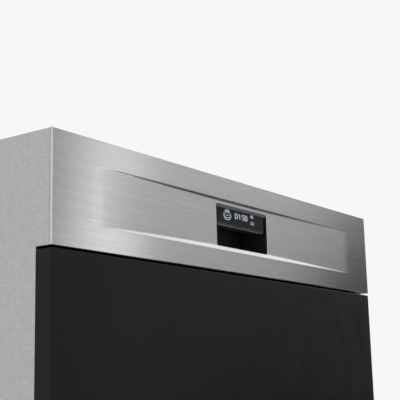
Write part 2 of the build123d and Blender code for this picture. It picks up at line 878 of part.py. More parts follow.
cap_seat_y = dispenser_face_y + touch_gap
cap_disc_y = cap_seat_y + cap_disc
with BuildPart() as rinse_cap:
    rod((cap_x, cap_seat_y, cap_z), (0, 1, 0), cap_radius, cap_disc)
    rod((cap_x, cap_seat_y, cap_z), (0, -1, 0), cap_plug_radius, cap_plug_length)
    block((cap_x - cap_plug_radius, cap_x + cap_plug_radius), (cap_disc_y, cap_disc_y + cap_disc),
          (cap_z - cap_disc, cap_z + cap_disc))
save("rinse_cap", rinse_cap.part)

# Base pan: a moulded floor with foot bosses and four walls clipped to it, whose side walls carry the tub
pan_floor = base_bottom + plastic_wall
pan_wall_low = pan_floor + touch_gap
pan_wall_top = tub_floor_z - tub_sheet
shelf_top = track_z - tub_sheet
wall_inside_y = base_back_y - plastic_wall
with BuildPart() as base_pan:
    block((-base_half_width, base_half_width), (base_front_y, base_back_y), (base_bottom, pan_floor))
    foot_places = [(x, y) for x in (-foot_x, foot_x) for y in (foot_front_y, foot_rear_y)]
    with BuildSketch(Plane.XY.offset(base_bottom)):
        with Locations(*foot_places):
            Circle(boss_radius)
    extrude(amount=boss_top - base_bottom)
    with BuildSketch(Plane.XY.offset(base_bottom - bore_relief)):
        with Locations(*foot_places):
            Circle(foot_screw_radius + pin_clearance)
    extrude(amount=boss_top - base_bottom + 2 * bore_relief, mode=Mode.SUBTRACT)
    for side in (-1, 1):
        wall_x = sorted((side * (base_half_width - plastic_wall), side * base_half_width))
        shelf_x = sorted((side * (base_half_width - shelf_width), side * base_half_width))
        block(wall_x, (base_front_y, base_back_y), (pan_wall_low, shelf_top))
        block(shelf_x, (base_front_y, base_back_y), (shelf_top - plastic_wall, shelf_top))
    end_half = base_half_width - plastic_wall - touch_gap
    for y in (base_front_y, wall_inside_y):
        block((-end_half, end_half), (y, y + plastic_wall), (pan_wall_low, pan_wall_top))
    for x, radius in ((inlet_x, inlet_collar), (drain_x, drain_collar), (gland_x, gland_radius)):
        wall_start = (x, base_back_y + bore_relief, service_z)
        rod(wall_start, (0, -1, 0), radius + touch_gap, plastic_wall + 2 * bore_relief, mode=Mode.SUBTRACT)
save("base_pan", base_pan.part)

# Side and rear sheets and the top cover, with stiffening ribs on the inside
case_front_y = tub_front_y + slide_gap
case_top = height - bracket_sheet - case_sheet
side_rib_z = (panel_foot_z + side_rib_lift, case_top - rib_end_room)
rear_rib_z = (tub_floor_z + rib_end_room, case_top - rib_end_room)
rear_sheet_y = back_y - case_sheet
with BuildPart() as case_panels:
    for side in (-1, 1):
        sheet_x = sorted((side * (half_width - case_sheet), side * half_width))
        block(sheet_x, (case_front_y, rear_sheet_y - touch_gap), (panel_foot_z, case_top))
        rib_x = sorted((side * (half_width - case_sheet - rib_height), side * (half_width - case_sheet)))
        for y in rib_places:
            block(rib_x, (y - rib_half, y + rib_half), side_rib_z)
    block((-half_width, half_width), (rear_sheet_y, back_y), (tub_floor_z, case_top))
    for x in rear_rib_places:
        block((x - rib_half, x + rib_half), (rear_sheet_y - rib_height, rear_sheet_y), rear_rib_z)
save("case_panels", case_panels.part)

top_rib_end = half_width - rib_end_room
with BuildPart() as top_cover:
    block((-half_width, half_width), (case_front_y, back_y), (case_top, case_top + case_sheet))
    for y in top_rib_places:
        block((-top_rib_end, top_rib_end), (y - rib_half, y + rib_half), (case_top - rib_height, case_top))
save("top_cover", top_cover.part)

# Brackets that screw the machine to the underside of a worktop
with BuildPart() as worktop_brackets:
    for x in (-bracket_x, bracket_x):
        with BuildSketch(Plane.XY.offset(height - bracket_sheet)):
            with Locations((x, tub_front_y + bracket_size / 2 - bracket_overhang)):
                RectangleRounded(bracket_size, bracket_size, bracket_corner)
            with Locations((x, tub_front_y - door_to_tub / 2)):
                Circle(bracket_hole, mode=Mode.SUBTRACT)
        extrude(amount=bracket_sheet)
save("worktop_brackets", worktop_brackets.part)

# Plinth plate on the front of the base pan
with BuildPart() as plinth_plate:
    plinth_y = (base_front_y - plinth_sheet, base_front_y)
    block((-base_half_width, base_half_width), plinth_y, (plinth_low, plinth_high))
    fillet(plinth_plate.edges().filter_by(Axis.Y).group_by(Axis.Z)[-1], plinth_corner)
save("plinth_plate", plinth_plate.part)

# Levelling feet: a round pad on a screw that runs in the base pan's boss
for row, y in (("front", foot_front_y), ("rear", foot_rear_y)):
    for name, x in (("left", -foot_x), ("right", foot_x)):
        with BuildPart() as foot:
            with BuildSketch(Plane.XY):
                with Locations((x, y)):
                    RegularPolygon(foot_pad_radius, 12)
            extrude(amount=foot_pad_height)
            chamfer(foot.edges().group_by(Axis.Z)[-1], foot_edge)
            screw_start = foot_pad_height - foot_edge
            rod((x, y, screw_start), (0, 0, 1), foot_screw_radius, foot_screw_top - screw_start)
        save(f"foot_{row}_{name}", foot.part)

# Sump bowl under the tub's floor, with the column that carries the lower spray arm
sump_top = tub_floor_z - tub_sheet
sump_bottom = sump_top - sump_depth
sump_outside = sump_radius + sump_rim
column_top = lower_arm_z + arm_thickness - column_below_arm
with BuildPart() as sump:
    rod((0, sump_y, sump_bottom), (0, 0, 1), sump_outside, sump_depth)
    bowl_start = (0, sump_y, sump_bottom + sump_wall)
    rod(bowl_start, (0, 0, 1), sump_radius - sump_lip, sump_depth, mode=Mode.SUBTRACT)
    rod((0, arm_y, sump_bottom), (0, 0, 1), column_radius, column_top - sump_bottom)
save("sump", sump.part)

# Filter plate over the sump, with holes for the filter and for the column
with BuildPart() as filter_plate:
    rod((0, sump_y, tub_floor_z), (0, 0, 1), sump_outside + sump_lip, filter_sheet)
    for y, radius in ((filter_y, filter_radius), (arm_y, column_radius)):
        hole_start = (0, y, tub_floor_z - bore_relief)
        rod(hole_start, (0, 0, 1), radius + touch_gap, filter_sheet + 2 * bore_relief, mode=Mode.SUBTRACT)
save("filter_plate", filter_plate.part)

# Filter cylinder: a mesh cup with a grip across its mouth
cup_bottom = sump_bottom + sump_wall + touch_gap
cup_top = tub_floor_z + filter_rim
with BuildPart() as filter_cylinder:
    rod((0, filter_y, cup_bottom), (0, 0, 1), filter_radius, cup_top - cup_bottom)
    inside_start = (0, filter_y, cup_bottom + filter_wall)
    rod(inside_start, (0, 0, 1), filter_radius - filter_wall, cup_top - cup_bottom, mode=Mode.SUBTRACT)
    block((-filter_radius + filter_wall / 2, filter_radius - filter_wall / 2),
          (filter_y - filter_grip_half, filter_y + filter_grip_half),
          (cup_top - filter_grip_rise, cup_top + filter_grip_rise))
save("filter_cylinder", filter_cylinder.part)


def spray_arm(z, hub_z, hub_length):
    """Adds a flat arm with rounded ends, and a hub on one face."""
    with BuildSketch(Plane.XY.offset(z)) as outline:
        with Locations((0, arm_y)):
            SlotOverall(2 * arm_radius, arm_width)
            Circle(hub_disc_radius)
    extrude(outline.sketch, amount=arm_thickness)
    rod((0, arm_y, hub_z), (0, 0, 1), hub_radius, hub_length)


def nozzles(z):
    """Cuts jets into the top of an arm, ahead of its middle line on one side, behind it on the other."""
    for number in range(nozzle_count):
        for side in (-1, 1):
            jet_x = side * (nozzle_start + nozzle_pitch * number)
            jet = (jet_x, arm_y + side * nozzle_offset, z + arm_thickness)
            rod(jet, (0, 0, -1), nozzle_radius, nozzle_depth, mode=Mode.SUBTRACT)


with BuildPart() as lower_spray_arm:
    spray_arm(lower_arm_z, lower_arm_z - hub_drop, hub_drop)
    socket_start = (0, arm_y, lower_arm_z - hub_drop - bore_relief)
    socket_depth = hub_drop + arm_thickness - lower_hub_roof
    rod(socket_start, (0, 0, 1), column_radius + touch_gap, socket_depth, mode=Mode.SUBTRACT)
    nozzles(lower_arm_z)
save("lower_spray_arm", lower_spray_arm.part)

# Upper spray arm, turning on a stub under its duct
duct_low = upper_arm_z + arm_thickness + hub_drop + touch_gap
duct_z = (duct_low, upper_rack_z)
stub_depth = hub_drop + stub_in_arm
with BuildPart() as upper_spray_arm:
    spray_arm(upper_arm_z, upper_arm_z + arm_thickness, hub_drop)
    socket_start = (0, arm_y, upper_arm_z + upper_hub_floor)
    rod(socket_start, (0, 0, 1), stub_radius + touch_gap, arm_thickness + hub_drop, mode=Mode.SUBTRACT)
    nozzles(upper_arm_z)
save("upper_spray_arm", upper_spray_arm.part)

duct_rear_y = rack_rear_y + duct_past_rack
with BuildPart() as upper_duct:
    block((-duct_half, duct_half), (arm_y, duct_rear_y), duct_z)
    rod((0, arm_y, duct_z[0]), (0, 0, 1), duct_hub_radius, duct_z[1] - duct_z[0])
    rod((0, arm_y, duct_z[0] + bore_relief), (0, 0, -1), stub_radius, stub_depth)
save("upper_duct", upper_duct.part)

# Feed pipe: a flat duct up the rear wall and along the tub's ceiling, ending in the top shower
pipe_front_y = tub_back_y - pipe_depth
pipe_top = tub_top - pipe_rise
mouth_z = (duct_z[0] - bore_relief, duct_z[1] + bore_relief)
with BuildPart() as feed_pipe:
    block((-pipe_half, pipe_half), (pipe_front_y, tub_back_y), (tub_floor_z, pipe_top))
    block((-pipe_half, pipe_half), (arm_y, tub_back_y), (pipe_top, tub_top))
    block((-mouth_half, mouth_half), (duct_rear_y + touch_gap, pipe_front_y), mouth_z)
    rod((0, arm_y, pipe_top - shower_height), (0, 0, 1), shower_radius, shower_height)
    chamfer(feed_pipe.edges().filter_by(GeomType.CIRCLE).group_by(Axis.Z)[0], shower_height / 3)
save("feed_pipe", feed_pipe.part)

# Lower rack: nets for its floor and walls, with fixed rows of tines
tine_foot_z = lower_rack_z + wire + touch_gap
tine_axis_z = tine_foot_z + tine_bearing
bearing_places = (rack_front_y + bearing_in, rack_rear_y - bearing_in)
tine_count = int((rack_rear_y - rack_front_y - 2 * bearing_in) / tine_pitch)
bearing_z = (tine_foot_z, tine_foot_z + 2 * tine_bearing)
with BuildPart() as lower_rack:
    basket(lower_rack_half, lower_rack_z, lower_wall, wire)
    for x in fixed_tine_x:
        tine_comb(x, rack_front_y + tine_start, tine_count, tine_foot_z, tine_height)
    for y in bearing_places:
        bearing_y = (y - wire / 2, y + wire / 2)
        block((folding_tine_x - tine_bearing, folding_tine_x + tine_bearing), bearing_y, bearing_z)
        eye_start = (folding_tine_x, bearing_y[0] - bore_relief, tine_axis_z)
        rod(eye_start, (0, 1, 0), wire / 2 + pin_clearance, wire + 2 * bore_relief, mode=Mode.SUBTRACT)
save("lower_rack", lower_rack.part)

# Folding tines: a row on a round bar that turns in two bearings on the rack's floor
bar_start = bearing_places[0] - wire
bar_length = bearing_places[1] + wire - bar_start
with BuildPart() as folding_tines:
    rod((folding_tine_x, bar_start, tine_axis_z), (0, 1, 0), wire / 2, bar_length)
    for number in range(tine_count - 1):
        tine_y = rack_front_y + tine_start + tine_bearing + number * tine_pitch
        tine_foot = (folding_tine_x, tine_y, tine_axis_z)
        rod(tine_foot, (0, 0, 1), folding_tine_radius, tine_height - tine_bearing)
save("folding_tines", folding_tines.part)

# Wheel carriers with their axles, clipped to the lower rack's sides
with BuildPart() as wheel_carriers:
    for side in (-1, 1):
        for y in wheel_places.values():
            carrier_x = sorted((side * lower_rack_half, side * (wheel_x - touch_gap)))
            carrier_span = tuple(wheel_z + level for level in carrier_z)
            block(carrier_x, (y - carrier_half, y + carrier_half), carrier_span)
            axle_start = side * (wheel_x - touch_gap - bore_relief)
            rod((axle_start, y, wheel_z), (side, 0, 0), axle_radius, wheel_width + 3 * bore_relief)
save("wheel_carriers", wheel_carriers.part)

for name, y in wheel_places.items():
    with BuildPart() as wheels:
        for side in (-1, 1):
            with BuildSketch(Plane.YZ.offset(min(side * wheel_x, side * (wheel_x + wheel_width)))):
                with Locations((y, wheel_z)):
                    Circle(wheel_radius)
                    Circle(axle_radius + pin_clearance, mode=Mode.SUBTRACT)
            extrude(amount=wheel_width)
        circles = wheels.edges().filter_by(GeomType.CIRCLE)
        chamfer(circles.filter_by(lambda edge: edge.radius > wheel_radius / 2), wheel_edge)
    save(f"wheels_{name}", wheels.part)

# Upper rack
with BuildPart() as upper_rack:
    basket(upper_rack_half, upper_rack_z, upper_wall, wire)
    for x in upper_comb_x:
        tine_comb(x, rack_front_y + tine_start, tine_count, upper_rack_z + wire + touch_gap, tine_height / 2)
save("upper_rack", upper_rack.part)


def channel(side, z, half, lip):
    """Adds one rail: a web on the tub's wall with a lip above and below."""
    web_x = sorted((side * (tub_half_width - lip), side * tub_half_width))
    lip_x = sorted((side * (tub_half_width - rail_depth), side * tub_half_width))
    block(web_x, (rail_front_y, rail_rear_y), (z - half, z + half))
    for low, high in ((-half, -half + lip), (half - lip, half)):
        block(lip_x, (rail_front_y, rail_rear_y), (z + low, z + high))


tray_rail_z = tray_z + tray_wall / 2
with BuildPart() as rack_rails:
    for side in (-1, 1):
        channel(side, rail_z, rail_half_height, rail_lip)
        channel(side, tray_rail_z, tray_rail_half, rail_lip)
save("rack_rails", rack_rails.part)

# Middle rails, telescoping between the fixed rails and the runners
bar_half = rail_half_height - rail_lip - slide_gap
bar_z = (rail_z - bar_half, rail_z + bar_half)
middle_out = tub_half_width - rail_lip - slide_gap
inner_out = middle_out - rail_bar - slide_gap
with BuildPart() as middle_rails:
    for side in (-1, 1):
        middle_x = sorted((side * (middle_out - rail_bar), side * middle_out))
        block(middle_x, (rail_front_y, rail_rear_y), bar_z)
save("middle_rails", middle_rails.part)

# Runners on the upper rack, with the clips that hold the rack to them
with BuildPart() as rack_runners:
    for side in (-1, 1):
        runner_x = sorted((side * (inner_out - rail_bar), side * inner_out))
        clip_x = sorted((side * upper_rack_half, side * (inner_out - rail_bar)))
        block(runner_x, (rail_front_y, rail_rear_y), bar_z)
        for y in clip_places:
            block(clip_x, (y - clip_half, y + clip_half), bar_z)
save("rack_runners", rack_runners.part)

# Cutlery tray, with a glide along each side
glide_half = tray_rail_half - rail_lip - slide_gap
glide_end = tub_half_width - rail_depth + tray_glide
glide_y = (rack_front_y + glide_front_in, rack_rear_y - glide_rear_in)
inside_tray_y = (rack_front_y + tray_wire + touch_gap, rack_rear_y - tray_wire - touch_gap)
divider_z = (tray_z + tray_wire + touch_gap, tray_z + tray_wall - tray_divider_drop)
with BuildPart() as cutlery_tray:
    basket(tray_half, tray_z, tray_wall, tray_wire)
    for side in (-1, 1):
        glide_x = sorted((side * tray_half, side * glide_end))
        block(glide_x, glide_y, (tray_rail_z - glide_half, tray_rail_z + glide_half))
    for x in tray_divider_x:
        divider_x = (x - tray_divider / 2, x + tray_divider / 2)
        block(divider_x, inside_tray_y, divider_z)
save("cutlery_tray", cutlery_tray.part)

# Circulation pump: its motor behind the pump housing, a foot under it and a pipe from the sump
suction_x = (sump_outside, pump_x)
with BuildPart() as circulation_pump:
    rod((pump_x, pump_y, pump_z), (0, 1, 0), pump_radius, pump_length)
    rod((pump_x, pump_y + bore_relief, pump_z), (0, -1, 0), motor_radius, motor_length + bore_relief)
    block((pump_x - pump_foot_half, pump_x + pump_foot_half),
          (pump_y + pump_foot_in, pump_y + pump_length - pump_foot_in), (pan_floor, pump_z))
    block(suction_x, tuple(pump_y + y for y in suction_y), tuple(sump_bottom + z for z in suction_z))
save("circulation_pump", circulation_pump.part)

with BuildPart() as drain_pump:
    rod((drain_pump_x, drain_pump_y, drain_pump_z), (0, 1, 0), drain_pump_radius, drain_pump_length)
    rod((drain_pump_x, drain_pump_y + bore_relief, drain_pump_z), (0, -1, 0),
        drain_pump_radius + drain_front_extra, drain_front_length)
    block((drain_pump_x - drain_foot_half, drain_pump_x + drain_foot_half),
          tuple(drain_pump_y + y for y in drain_foot_y), (pan_floor, drain_pump_z))
save("drain_pump", drain_pump.part)

# Softener tank, whose filler neck comes up through the tub's floor
tank_top = tub_floor_z - tank_drop
neck_top = tub_floor_z + neck_height
neck_bore = neck_radius - neck_wall
with BuildPart() as softener_tank:
    block((softener_x - tank_half, softener_x + tank_half), (softener_y + tank_y[0], softener_y + tank_y[1]),
          (pan_floor, tank_top))
    fillet(softener_tank.edges().filter_by(Axis.Z), tank_corner)
    neck_start = (softener_x, softener_y, tank_top - bore_relief)
    rod(neck_start, (0, 0, 1), neck_radius, neck_top - tank_top + bore_relief)
    bore_start = (softener_x, softener_y, tub_floor_z - neck_depth)
    rod(bore_start, (0, 0, 1), neck_bore, neck_height + neck_depth + bore_relief, mode=Mode.SUBTRACT)
save("softener_tank", softener_tank.part)

cap_seat_z = neck_top + touch_gap
with BuildPart() as salt_cap:
    rod((softener_x, softener_y, cap_seat_z), (0, 0, 1), salt_cap_radius, salt_cap_disc)
    rod((softener_x, softener_y, cap_seat_z), (0, 0, -1), neck_bore - salt_plug_gap, salt_plug_length)
    block((softener_x - salt_grip_half[0], softener_x + salt_grip_half[0]),
          (softener_y - salt_grip_half[1], softener_y + salt_grip_half[1]),
          (neck_top + salt_grip_foot, neck_top + salt_cap_grip))
save("salt_cap", salt_cap.part)

# Connections at the rear of the base pan, each with a flange or a body inside its wall
service_end_y = back_y - service_short
collar_length = plastic_wall + collar_reach
spigot_length = service_end_y - base_back_y - collar_reach


def spigot(x, collar_radius, radius, bore):
    """Adds a collar through the pan's wall and a thinner spigot behind it, with a blind bore from its end."""
    rod((x, wall_inside_y, service_z), (0, 1, 0), collar_radius, collar_length)
    rod((x, wall_inside_y + collar_length, service_z), (0, 1, 0), radius, spigot_length)
    rod((x, service_end_y, service_z), (0, -1, 0), bore, port_depth, mode=Mode.SUBTRACT)


with BuildPart() as inlet_valve:
    block((inlet_x - valve_body[0] / 2, inlet_x + valve_body[0] / 2),
          (wall_inside_y - valve_body[1], wall_inside_y),
          (service_z - valve_body[2] / 2, service_z + valve_body[2] / 2))
    spigot(inlet_x, inlet_collar, inlet_thread_radius, inlet_thread_radius - port_wall)
save("inlet_valve", inlet_valve.part)

with BuildPart() as drain_outlet:
    flange_start = (drain_x, wall_inside_y - flange_thickness, service_z)
    rod(flange_start, (0, 1, 0), drain_collar + flange_width, flange_thickness)
    spigot(drain_x, drain_collar, drain_radius, drain_radius - port_wall)
save("drain_outlet", drain_outlet.part)

gland_start = (gland_x, wall_inside_y - plastic_wall, service_z)
gland_length = 2 * plastic_wall + gland_reach
with BuildPart() as mains_gland:
    rod(gland_start, (0, 1, 0), gland_radius + gland_flange, plastic_wall)
    rod(gland_start, (0, 1, 0), gland_radius, gland_length)
    rod(gland_start, (0, 1, 0), gland_bore, gland_length + bore_relief, mode=Mode.SUBTRACT)
save("mains_gland", mains_gland.part)

# Air break: the flat water chamber on the tub's left wall
tub_outside = tub_half_width + tub_sheet
with BuildPart() as air_break:
    block((-tub_outside - air_break_depth, -tub_outside), (-air_break_half, air_break_half), air_break_z)
    fillet(air_break.edges().filter_by(Axis.X), air_break_corner)
save("air_break", air_break.part)
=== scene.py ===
import json
import math

import bpy
from mathutils import Matrix, Vector


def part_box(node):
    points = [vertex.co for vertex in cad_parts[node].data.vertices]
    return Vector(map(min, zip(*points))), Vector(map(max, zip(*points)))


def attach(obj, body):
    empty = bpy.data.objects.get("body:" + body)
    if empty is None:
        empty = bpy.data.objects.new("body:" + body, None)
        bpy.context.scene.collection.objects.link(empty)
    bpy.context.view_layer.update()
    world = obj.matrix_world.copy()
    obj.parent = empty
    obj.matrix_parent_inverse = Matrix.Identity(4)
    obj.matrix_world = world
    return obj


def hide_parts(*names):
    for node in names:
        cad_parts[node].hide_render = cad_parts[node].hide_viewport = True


# Lengths are millimetres up to the camera and the stage, and turned into metres where a point is stored.
MM = 0.001

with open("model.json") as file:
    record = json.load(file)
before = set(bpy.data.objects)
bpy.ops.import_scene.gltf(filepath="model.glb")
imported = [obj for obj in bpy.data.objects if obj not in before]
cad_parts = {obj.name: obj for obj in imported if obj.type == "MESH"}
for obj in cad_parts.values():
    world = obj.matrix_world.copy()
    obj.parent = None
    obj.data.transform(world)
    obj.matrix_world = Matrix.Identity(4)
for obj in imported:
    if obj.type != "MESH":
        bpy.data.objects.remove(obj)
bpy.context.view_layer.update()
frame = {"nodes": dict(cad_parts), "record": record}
nodes = frame["nodes"]


def span(node):
    """The lowest and highest corner of a CAD node, in millimetres."""
    low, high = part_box(node)
    return low / MM, high / MM


# Finishes


def calculated(tree, kind, operation, *inputs):
    """The outputs of a math node fed by sockets or by fixed values."""
    made = tree.nodes.new(kind)
    made.operation = operation
    for socket, value in zip(made.inputs, inputs):
        if isinstance(value, bpy.types.NodeSocket):
            tree.links.new(value, socket)
        else:
            socket.default_value = value
    return made.outputs


class Finish:
    """A procedural material: one Principled shader and the textures that feed it."""

    def __init__(self, name, colour, roughness, metallic=0.0, **constants):
        self.material = bpy.data.materials.new(name)
        self.material.use_nodes = True
        self.tree = self.material.node_tree
        self.shader = self.tree.nodes["Principled BSDF"]
        self.shader.inputs["Base Color"].default_value = (*colour, 1)
        self.shader.inputs["Roughness"].default_value = roughness
        self.shader.inputs["Metallic"].default_value = metallic
        for socket, value in constants.items():
            self.shader.inputs[socket.replace("_", " ")].default_value = value
        self.place = self.node("ShaderNodeTexCoord").outputs["Object"]
        self.colour = colour

    def node(self, kind, **settings):
        made = self.tree.nodes.new(kind)
        for setting, value in settings.items():
            setattr(made, setting, value)
        return made

    def mapped(self, stretch):
        mapping = self.node("ShaderNodeMapping")
        mapping.inputs["Scale"].default_value = stretch
        self.tree.links.new(self.place, mapping.inputs["Vector"])
        return mapping.outputs["Vector"]

    def noise(self, stretch, detail=3.0, rough=0.55):
        """Noise with so many features per metre along X, Y and Z."""
        texture = self.node("ShaderNodeTexNoise")
        texture.inputs["Scale"].default_value = 1.0
        texture.inputs["Detail"].default_value = detail
        texture.inputs["Roughness"].default_value = rough
        self.tree.links.new(self.mapped(stretch), texture.inputs["Vector"])
        return texture.outputs["Fac"]

    def cells(self, per_metre):
        """Irregular cells, so many per metre."""
        texture = self.node("ShaderNodeTexVoronoi")
        texture.inputs["Scale"].default_value = per_metre
        self.tree.links.new(self.place, texture.inputs["Vector"])
        return texture

    def holes(self, per_metre, radius, plane):
        """1 inside round holes on a regular grid, 0 between them; the radius is a share of the pitch."""
        grid = self.mapped(tuple(per_metre * p for p in plane))
        middle = tuple(0.5 * p for p in plane)
        cell = calculated(self.tree, "ShaderNodeVectorMath", "FRACTION", grid)[0]
        centred = calculated(self.tree, "ShaderNodeVectorMath", "SUBTRACT", cell, middle)[0]
        away = calculated(self.tree, "ShaderNodeVectorMath", "LENGTH", centred)["Value"]
        return calculated(self.tree, "ShaderNodeMath", "LESS_THAN", away, radius)[0]

    def range(self, source, low, high, start=0.0, end=1.0):
        """Carries a value from start to end over to low to high."""
        mapped = self.node("ShaderNodeMapRange")
        self.tree.links.new(source, mapped.inputs["Value"])
        mapped.inputs["From Min"].default_value = start
        mapped.inputs["From Max"].default_value = end
        mapped.inputs["To Min"].default_value = low
        mapped.inputs["To Max"].default_value = high
        return mapped.outputs["Result"]

    def tint(self, source, dark, light, start=0.3, end=0.7):
        """Varies the colour between two shares of the base colour."""
        ramp = self.node("ShaderNodeValToRGB")
        ramp.color_ramp.elements[0].position = start
        ramp.color_ramp.elements[1].position = end
        ramp.color_ramp.elements[0].color = (*(c * dark for c in self.colour), 1)
        ramp.color_ramp.elements[1].color = (*(min(1.0, c * light) for c in self.colour), 1)
        self.tree.links.new(source, ramp.inputs["Fac"])
        self.tree.links.new(ramp.outputs["Color"], self.shader.inputs["Base Color"])

    def rub(self, source, low, high, start=0.3, end=0.7):
        """Varies the roughness."""
        self.tree.links.new(self.range(source, low, high, start, end), self.shader.inputs["Roughness"])

    def relief(self, source, height):
        """Adds a bump of a height in millimetres."""
        bump = self.node("ShaderNodeBump")
        bump.inputs["Distance"].default_value = height * MM
        self.tree.links.new(source, bump.inputs["Height"])
        self.tree.links.new(bump.outputs["Normal"], self.shader.inputs["Normal"])

    def brushed(self, amount):
        """Stretches the gloss across a level brushing direction."""
        self.shader.inputs["Anisotropic"].default_value = amount
        across = self.node("ShaderNodeCombineXYZ")
        across.inputs["Z"].default_value = 1.0
        tangent = self.node("ShaderNodeVectorTransform", vector_type="VECTOR")
        tangent.convert_from = "OBJECT"
        tangent.convert_to = "WORLD"
        self.tree.links.new(across.outputs["Vector"], tangent.inputs["Vector"])
        self.tree.links.new(tangent.outputs["Vector"], self.shader.inputs["Tangent"])


# Brushing streaks per metre, across and along
FINE_STREAKS = (2200.0, 6.0)
BROAD_STREAKS = (500.0, 2.0)


def streaks(per_metre, along):
    """The stretch of a noise whose streaks run along one axis."""
    across, length = per_metre
    return [length if axis == along else across for axis in "XYZ"]


def brushed_steel(name, colour, rough, along, streak=0.05, anisotropic=0.6, relief=0.004):
    """Steel with streaks along one axis, in two sizes."""
    steel = Finish(name, colour, rough, metallic=1.0)
    fine = steel.noise(streaks(FINE_STREAKS, along))
    broad = steel.noise(streaks(BROAD_STREAKS, along))
    steel.tint(broad, dark=1 - streak, light=1 + streak)
    steel.rub(fine, low=rough - 0.05, high=rough + 0.07)
    steel.relief(fine, relief)
    if along == "X":
        steel.brushed(anisotropic)
    return steel.material


def galvanised(name, colour):
    """Zinc-coated sheet with its crystal pattern."""
    zinc = Finish(name, colour, 0.42, metallic=1.0)
    crystals = zinc.cells(420.0)
    zinc.tint(crystals.outputs["Color"], dark=0.94, light=1.05, start=0.1, end=0.9)
    zinc.rub(crystals.outputs["Distance"], low=0.36, high=0.48)
    zinc.relief(zinc.noise([300.0] * 3), height=0.01)
    return zinc.material


def moulded(name, colour, rough, grain=1400.0, depth=0.02, **constants):
    """Plastic with a fine spark-eroded grain and a slight unevenness of gloss."""
    plastic = Finish(name, colour, rough, **constants)
    plastic.tint(plastic.noise([60.0] * 3), dark=0.93, light=1.07)
    plastic.rub(plastic.noise([25.0] * 3), low=rough - 0.05, high=rough + 0.06)
    plastic.relief(plastic.cells(grain).outputs["Distance"], depth)
    return plastic.material


def lacquer(name, colour, rough):
    """Matt lacquer with a faint spray texture."""
    paint = Finish(name, colour, rough, Specular_IOR_Level=0.17)
    paint.tint(paint.noise([9.0] * 3), dark=0.88, light=1.12)
    paint.rub(paint.noise([40.0] * 3), low=rough - 0.04, high=rough + 0.05)
    paint.relief(paint.noise([1500.0] * 3, detail=1.0), height=0.01)
    return paint.material


def perforated(name, colour, per_metre, radius, plane):
    """Thin steel with punched holes, whose openings are painted near black as painted shade and pressed in by
    a bump.
    """
    steel = Finish(name, colour, 0.35, metallic=1.0)
    hole = steel.holes(per_metre, radius, plane)
    # The holes are painted near black: painted shade standing in for the dark seen through the openings
    steel.tint(hole, dark=1.0, light=0.04, start=0.4, end=0.6)
    steel.relief(hole, height=-0.3)
    return steel.material


def tinted_glass(name, colour):
    """Clear tinted glass with faint smears."""
    glass = Finish(name, colour, 0.03, Transmission_Weight=1.0, IOR=1.15)
    glass.rub(glass.noise([30.0] * 3), low=0.015, high=0.05)
    return glass.material


def lit_glyph(name, colour, strength):
    """A display segment, a little uneven as its pixels are."""
    lit = Finish(name, colour, 0.5, Emission_Color=(*colour, 1))
    glow_level = lit.range(lit.noise([1800.0] * 3), 0.75 * strength, strength)
    lit.tree.links.new(glow_level, lit.shader.inputs["Emission Strength"])
    return lit.material


def laminate(name, colour):
    """Circuit board with its solder mask and copper lines."""
    board = Finish(name, colour, 0.35)
    lines = board.noise([900.0, 60.0, 60.0], detail=0.0)
    board.tint(lines, dark=0.7, light=1.5, start=0.45, end=0.55)
    board.relief(lines, height=0.03)
    return board.material


STEEL_COLOUR = (0.60, 0.595, 0.585)
BRIGHT_COLOUR = (0.66, 0.665, 0.67)
FASCIA = brushed_steel("fascia_brushed_steel", STEEL_COLOUR, 0.2, "X", 0.04, anisotropic=1.0, relief=0.0008)
TUB = brushed_steel("tub_bright_steel", BRIGHT_COLOUR, 0.24, "Y", streak=0.03)
LINER = brushed_steel("liner_bright_steel", BRIGHT_COLOUR, 0.26, "X", streak=0.03, anisotropic=0.4)
ZINC = galvanised("galvanised_sheet", (0.46, 0.47, 0.48))
SPRING = brushed_steel("spring_steel", (0.30, 0.30, 0.31), 0.32, "Y")
PLATED = brushed_steel("plated_steel", (0.56, 0.56, 0.55), 0.3, "Z")
PANEL = lacquer("black_lacquer", (0.003, 0.003, 0.0032), 0.32)
BLACK = moulded("black_plastic", (0.012, 0.012, 0.013), 0.5)
SATIN = moulded("key_plastic", (0.03, 0.03, 0.032), 0.32, grain=2600.0, depth=0.006)
GREY = moulded("grey_plastic", (0.33, 0.34, 0.355), 0.45)
PALE = moulded("pale_plastic", (0.60, 0.61, 0.61), 0.42)
BLUE = moulded("blue_plastic", (0.035, 0.11, 0.30), 0.35, grain=2200.0, depth=0.008)
RUBBER = moulded("gasket_rubber", (0.035, 0.036, 0.04), 0.6, grain=900.0, depth=0.03)
COAT = moulded("nylon_coat", (0.36, 0.37, 0.39), 0.38, grain=1800.0, depth=0.015)
GLASS = tinted_glass("tinted_glass", (0.40, 0.41, 0.42))
MESH = perforated("filter_mesh", (0.5, 0.5, 0.5), 700.0, 0.32, (1.0, 1.0, 1.0))
SIEVE = perforated("filter_sieve", (0.62, 0.62, 0.62), 330.0, 0.28, (1.0, 1.0, 0.0))
BOARD = laminate("circuit_laminate", (0.03, 0.16, 0.07))
SCREEN = moulded(
    "screen_surround", (0.03, 0.03, 0.032), 0.5, grain=3000.0, depth=0.002, Specular_IOR_Level=0.2
)
# Pale strips painted as highlights on the display's edges
SCREEN_HIGHLIGHT = moulded("screen_painted_highlight", (0.8, 0.8, 0.8), 0.4, grain=3000.0, depth=0.002)
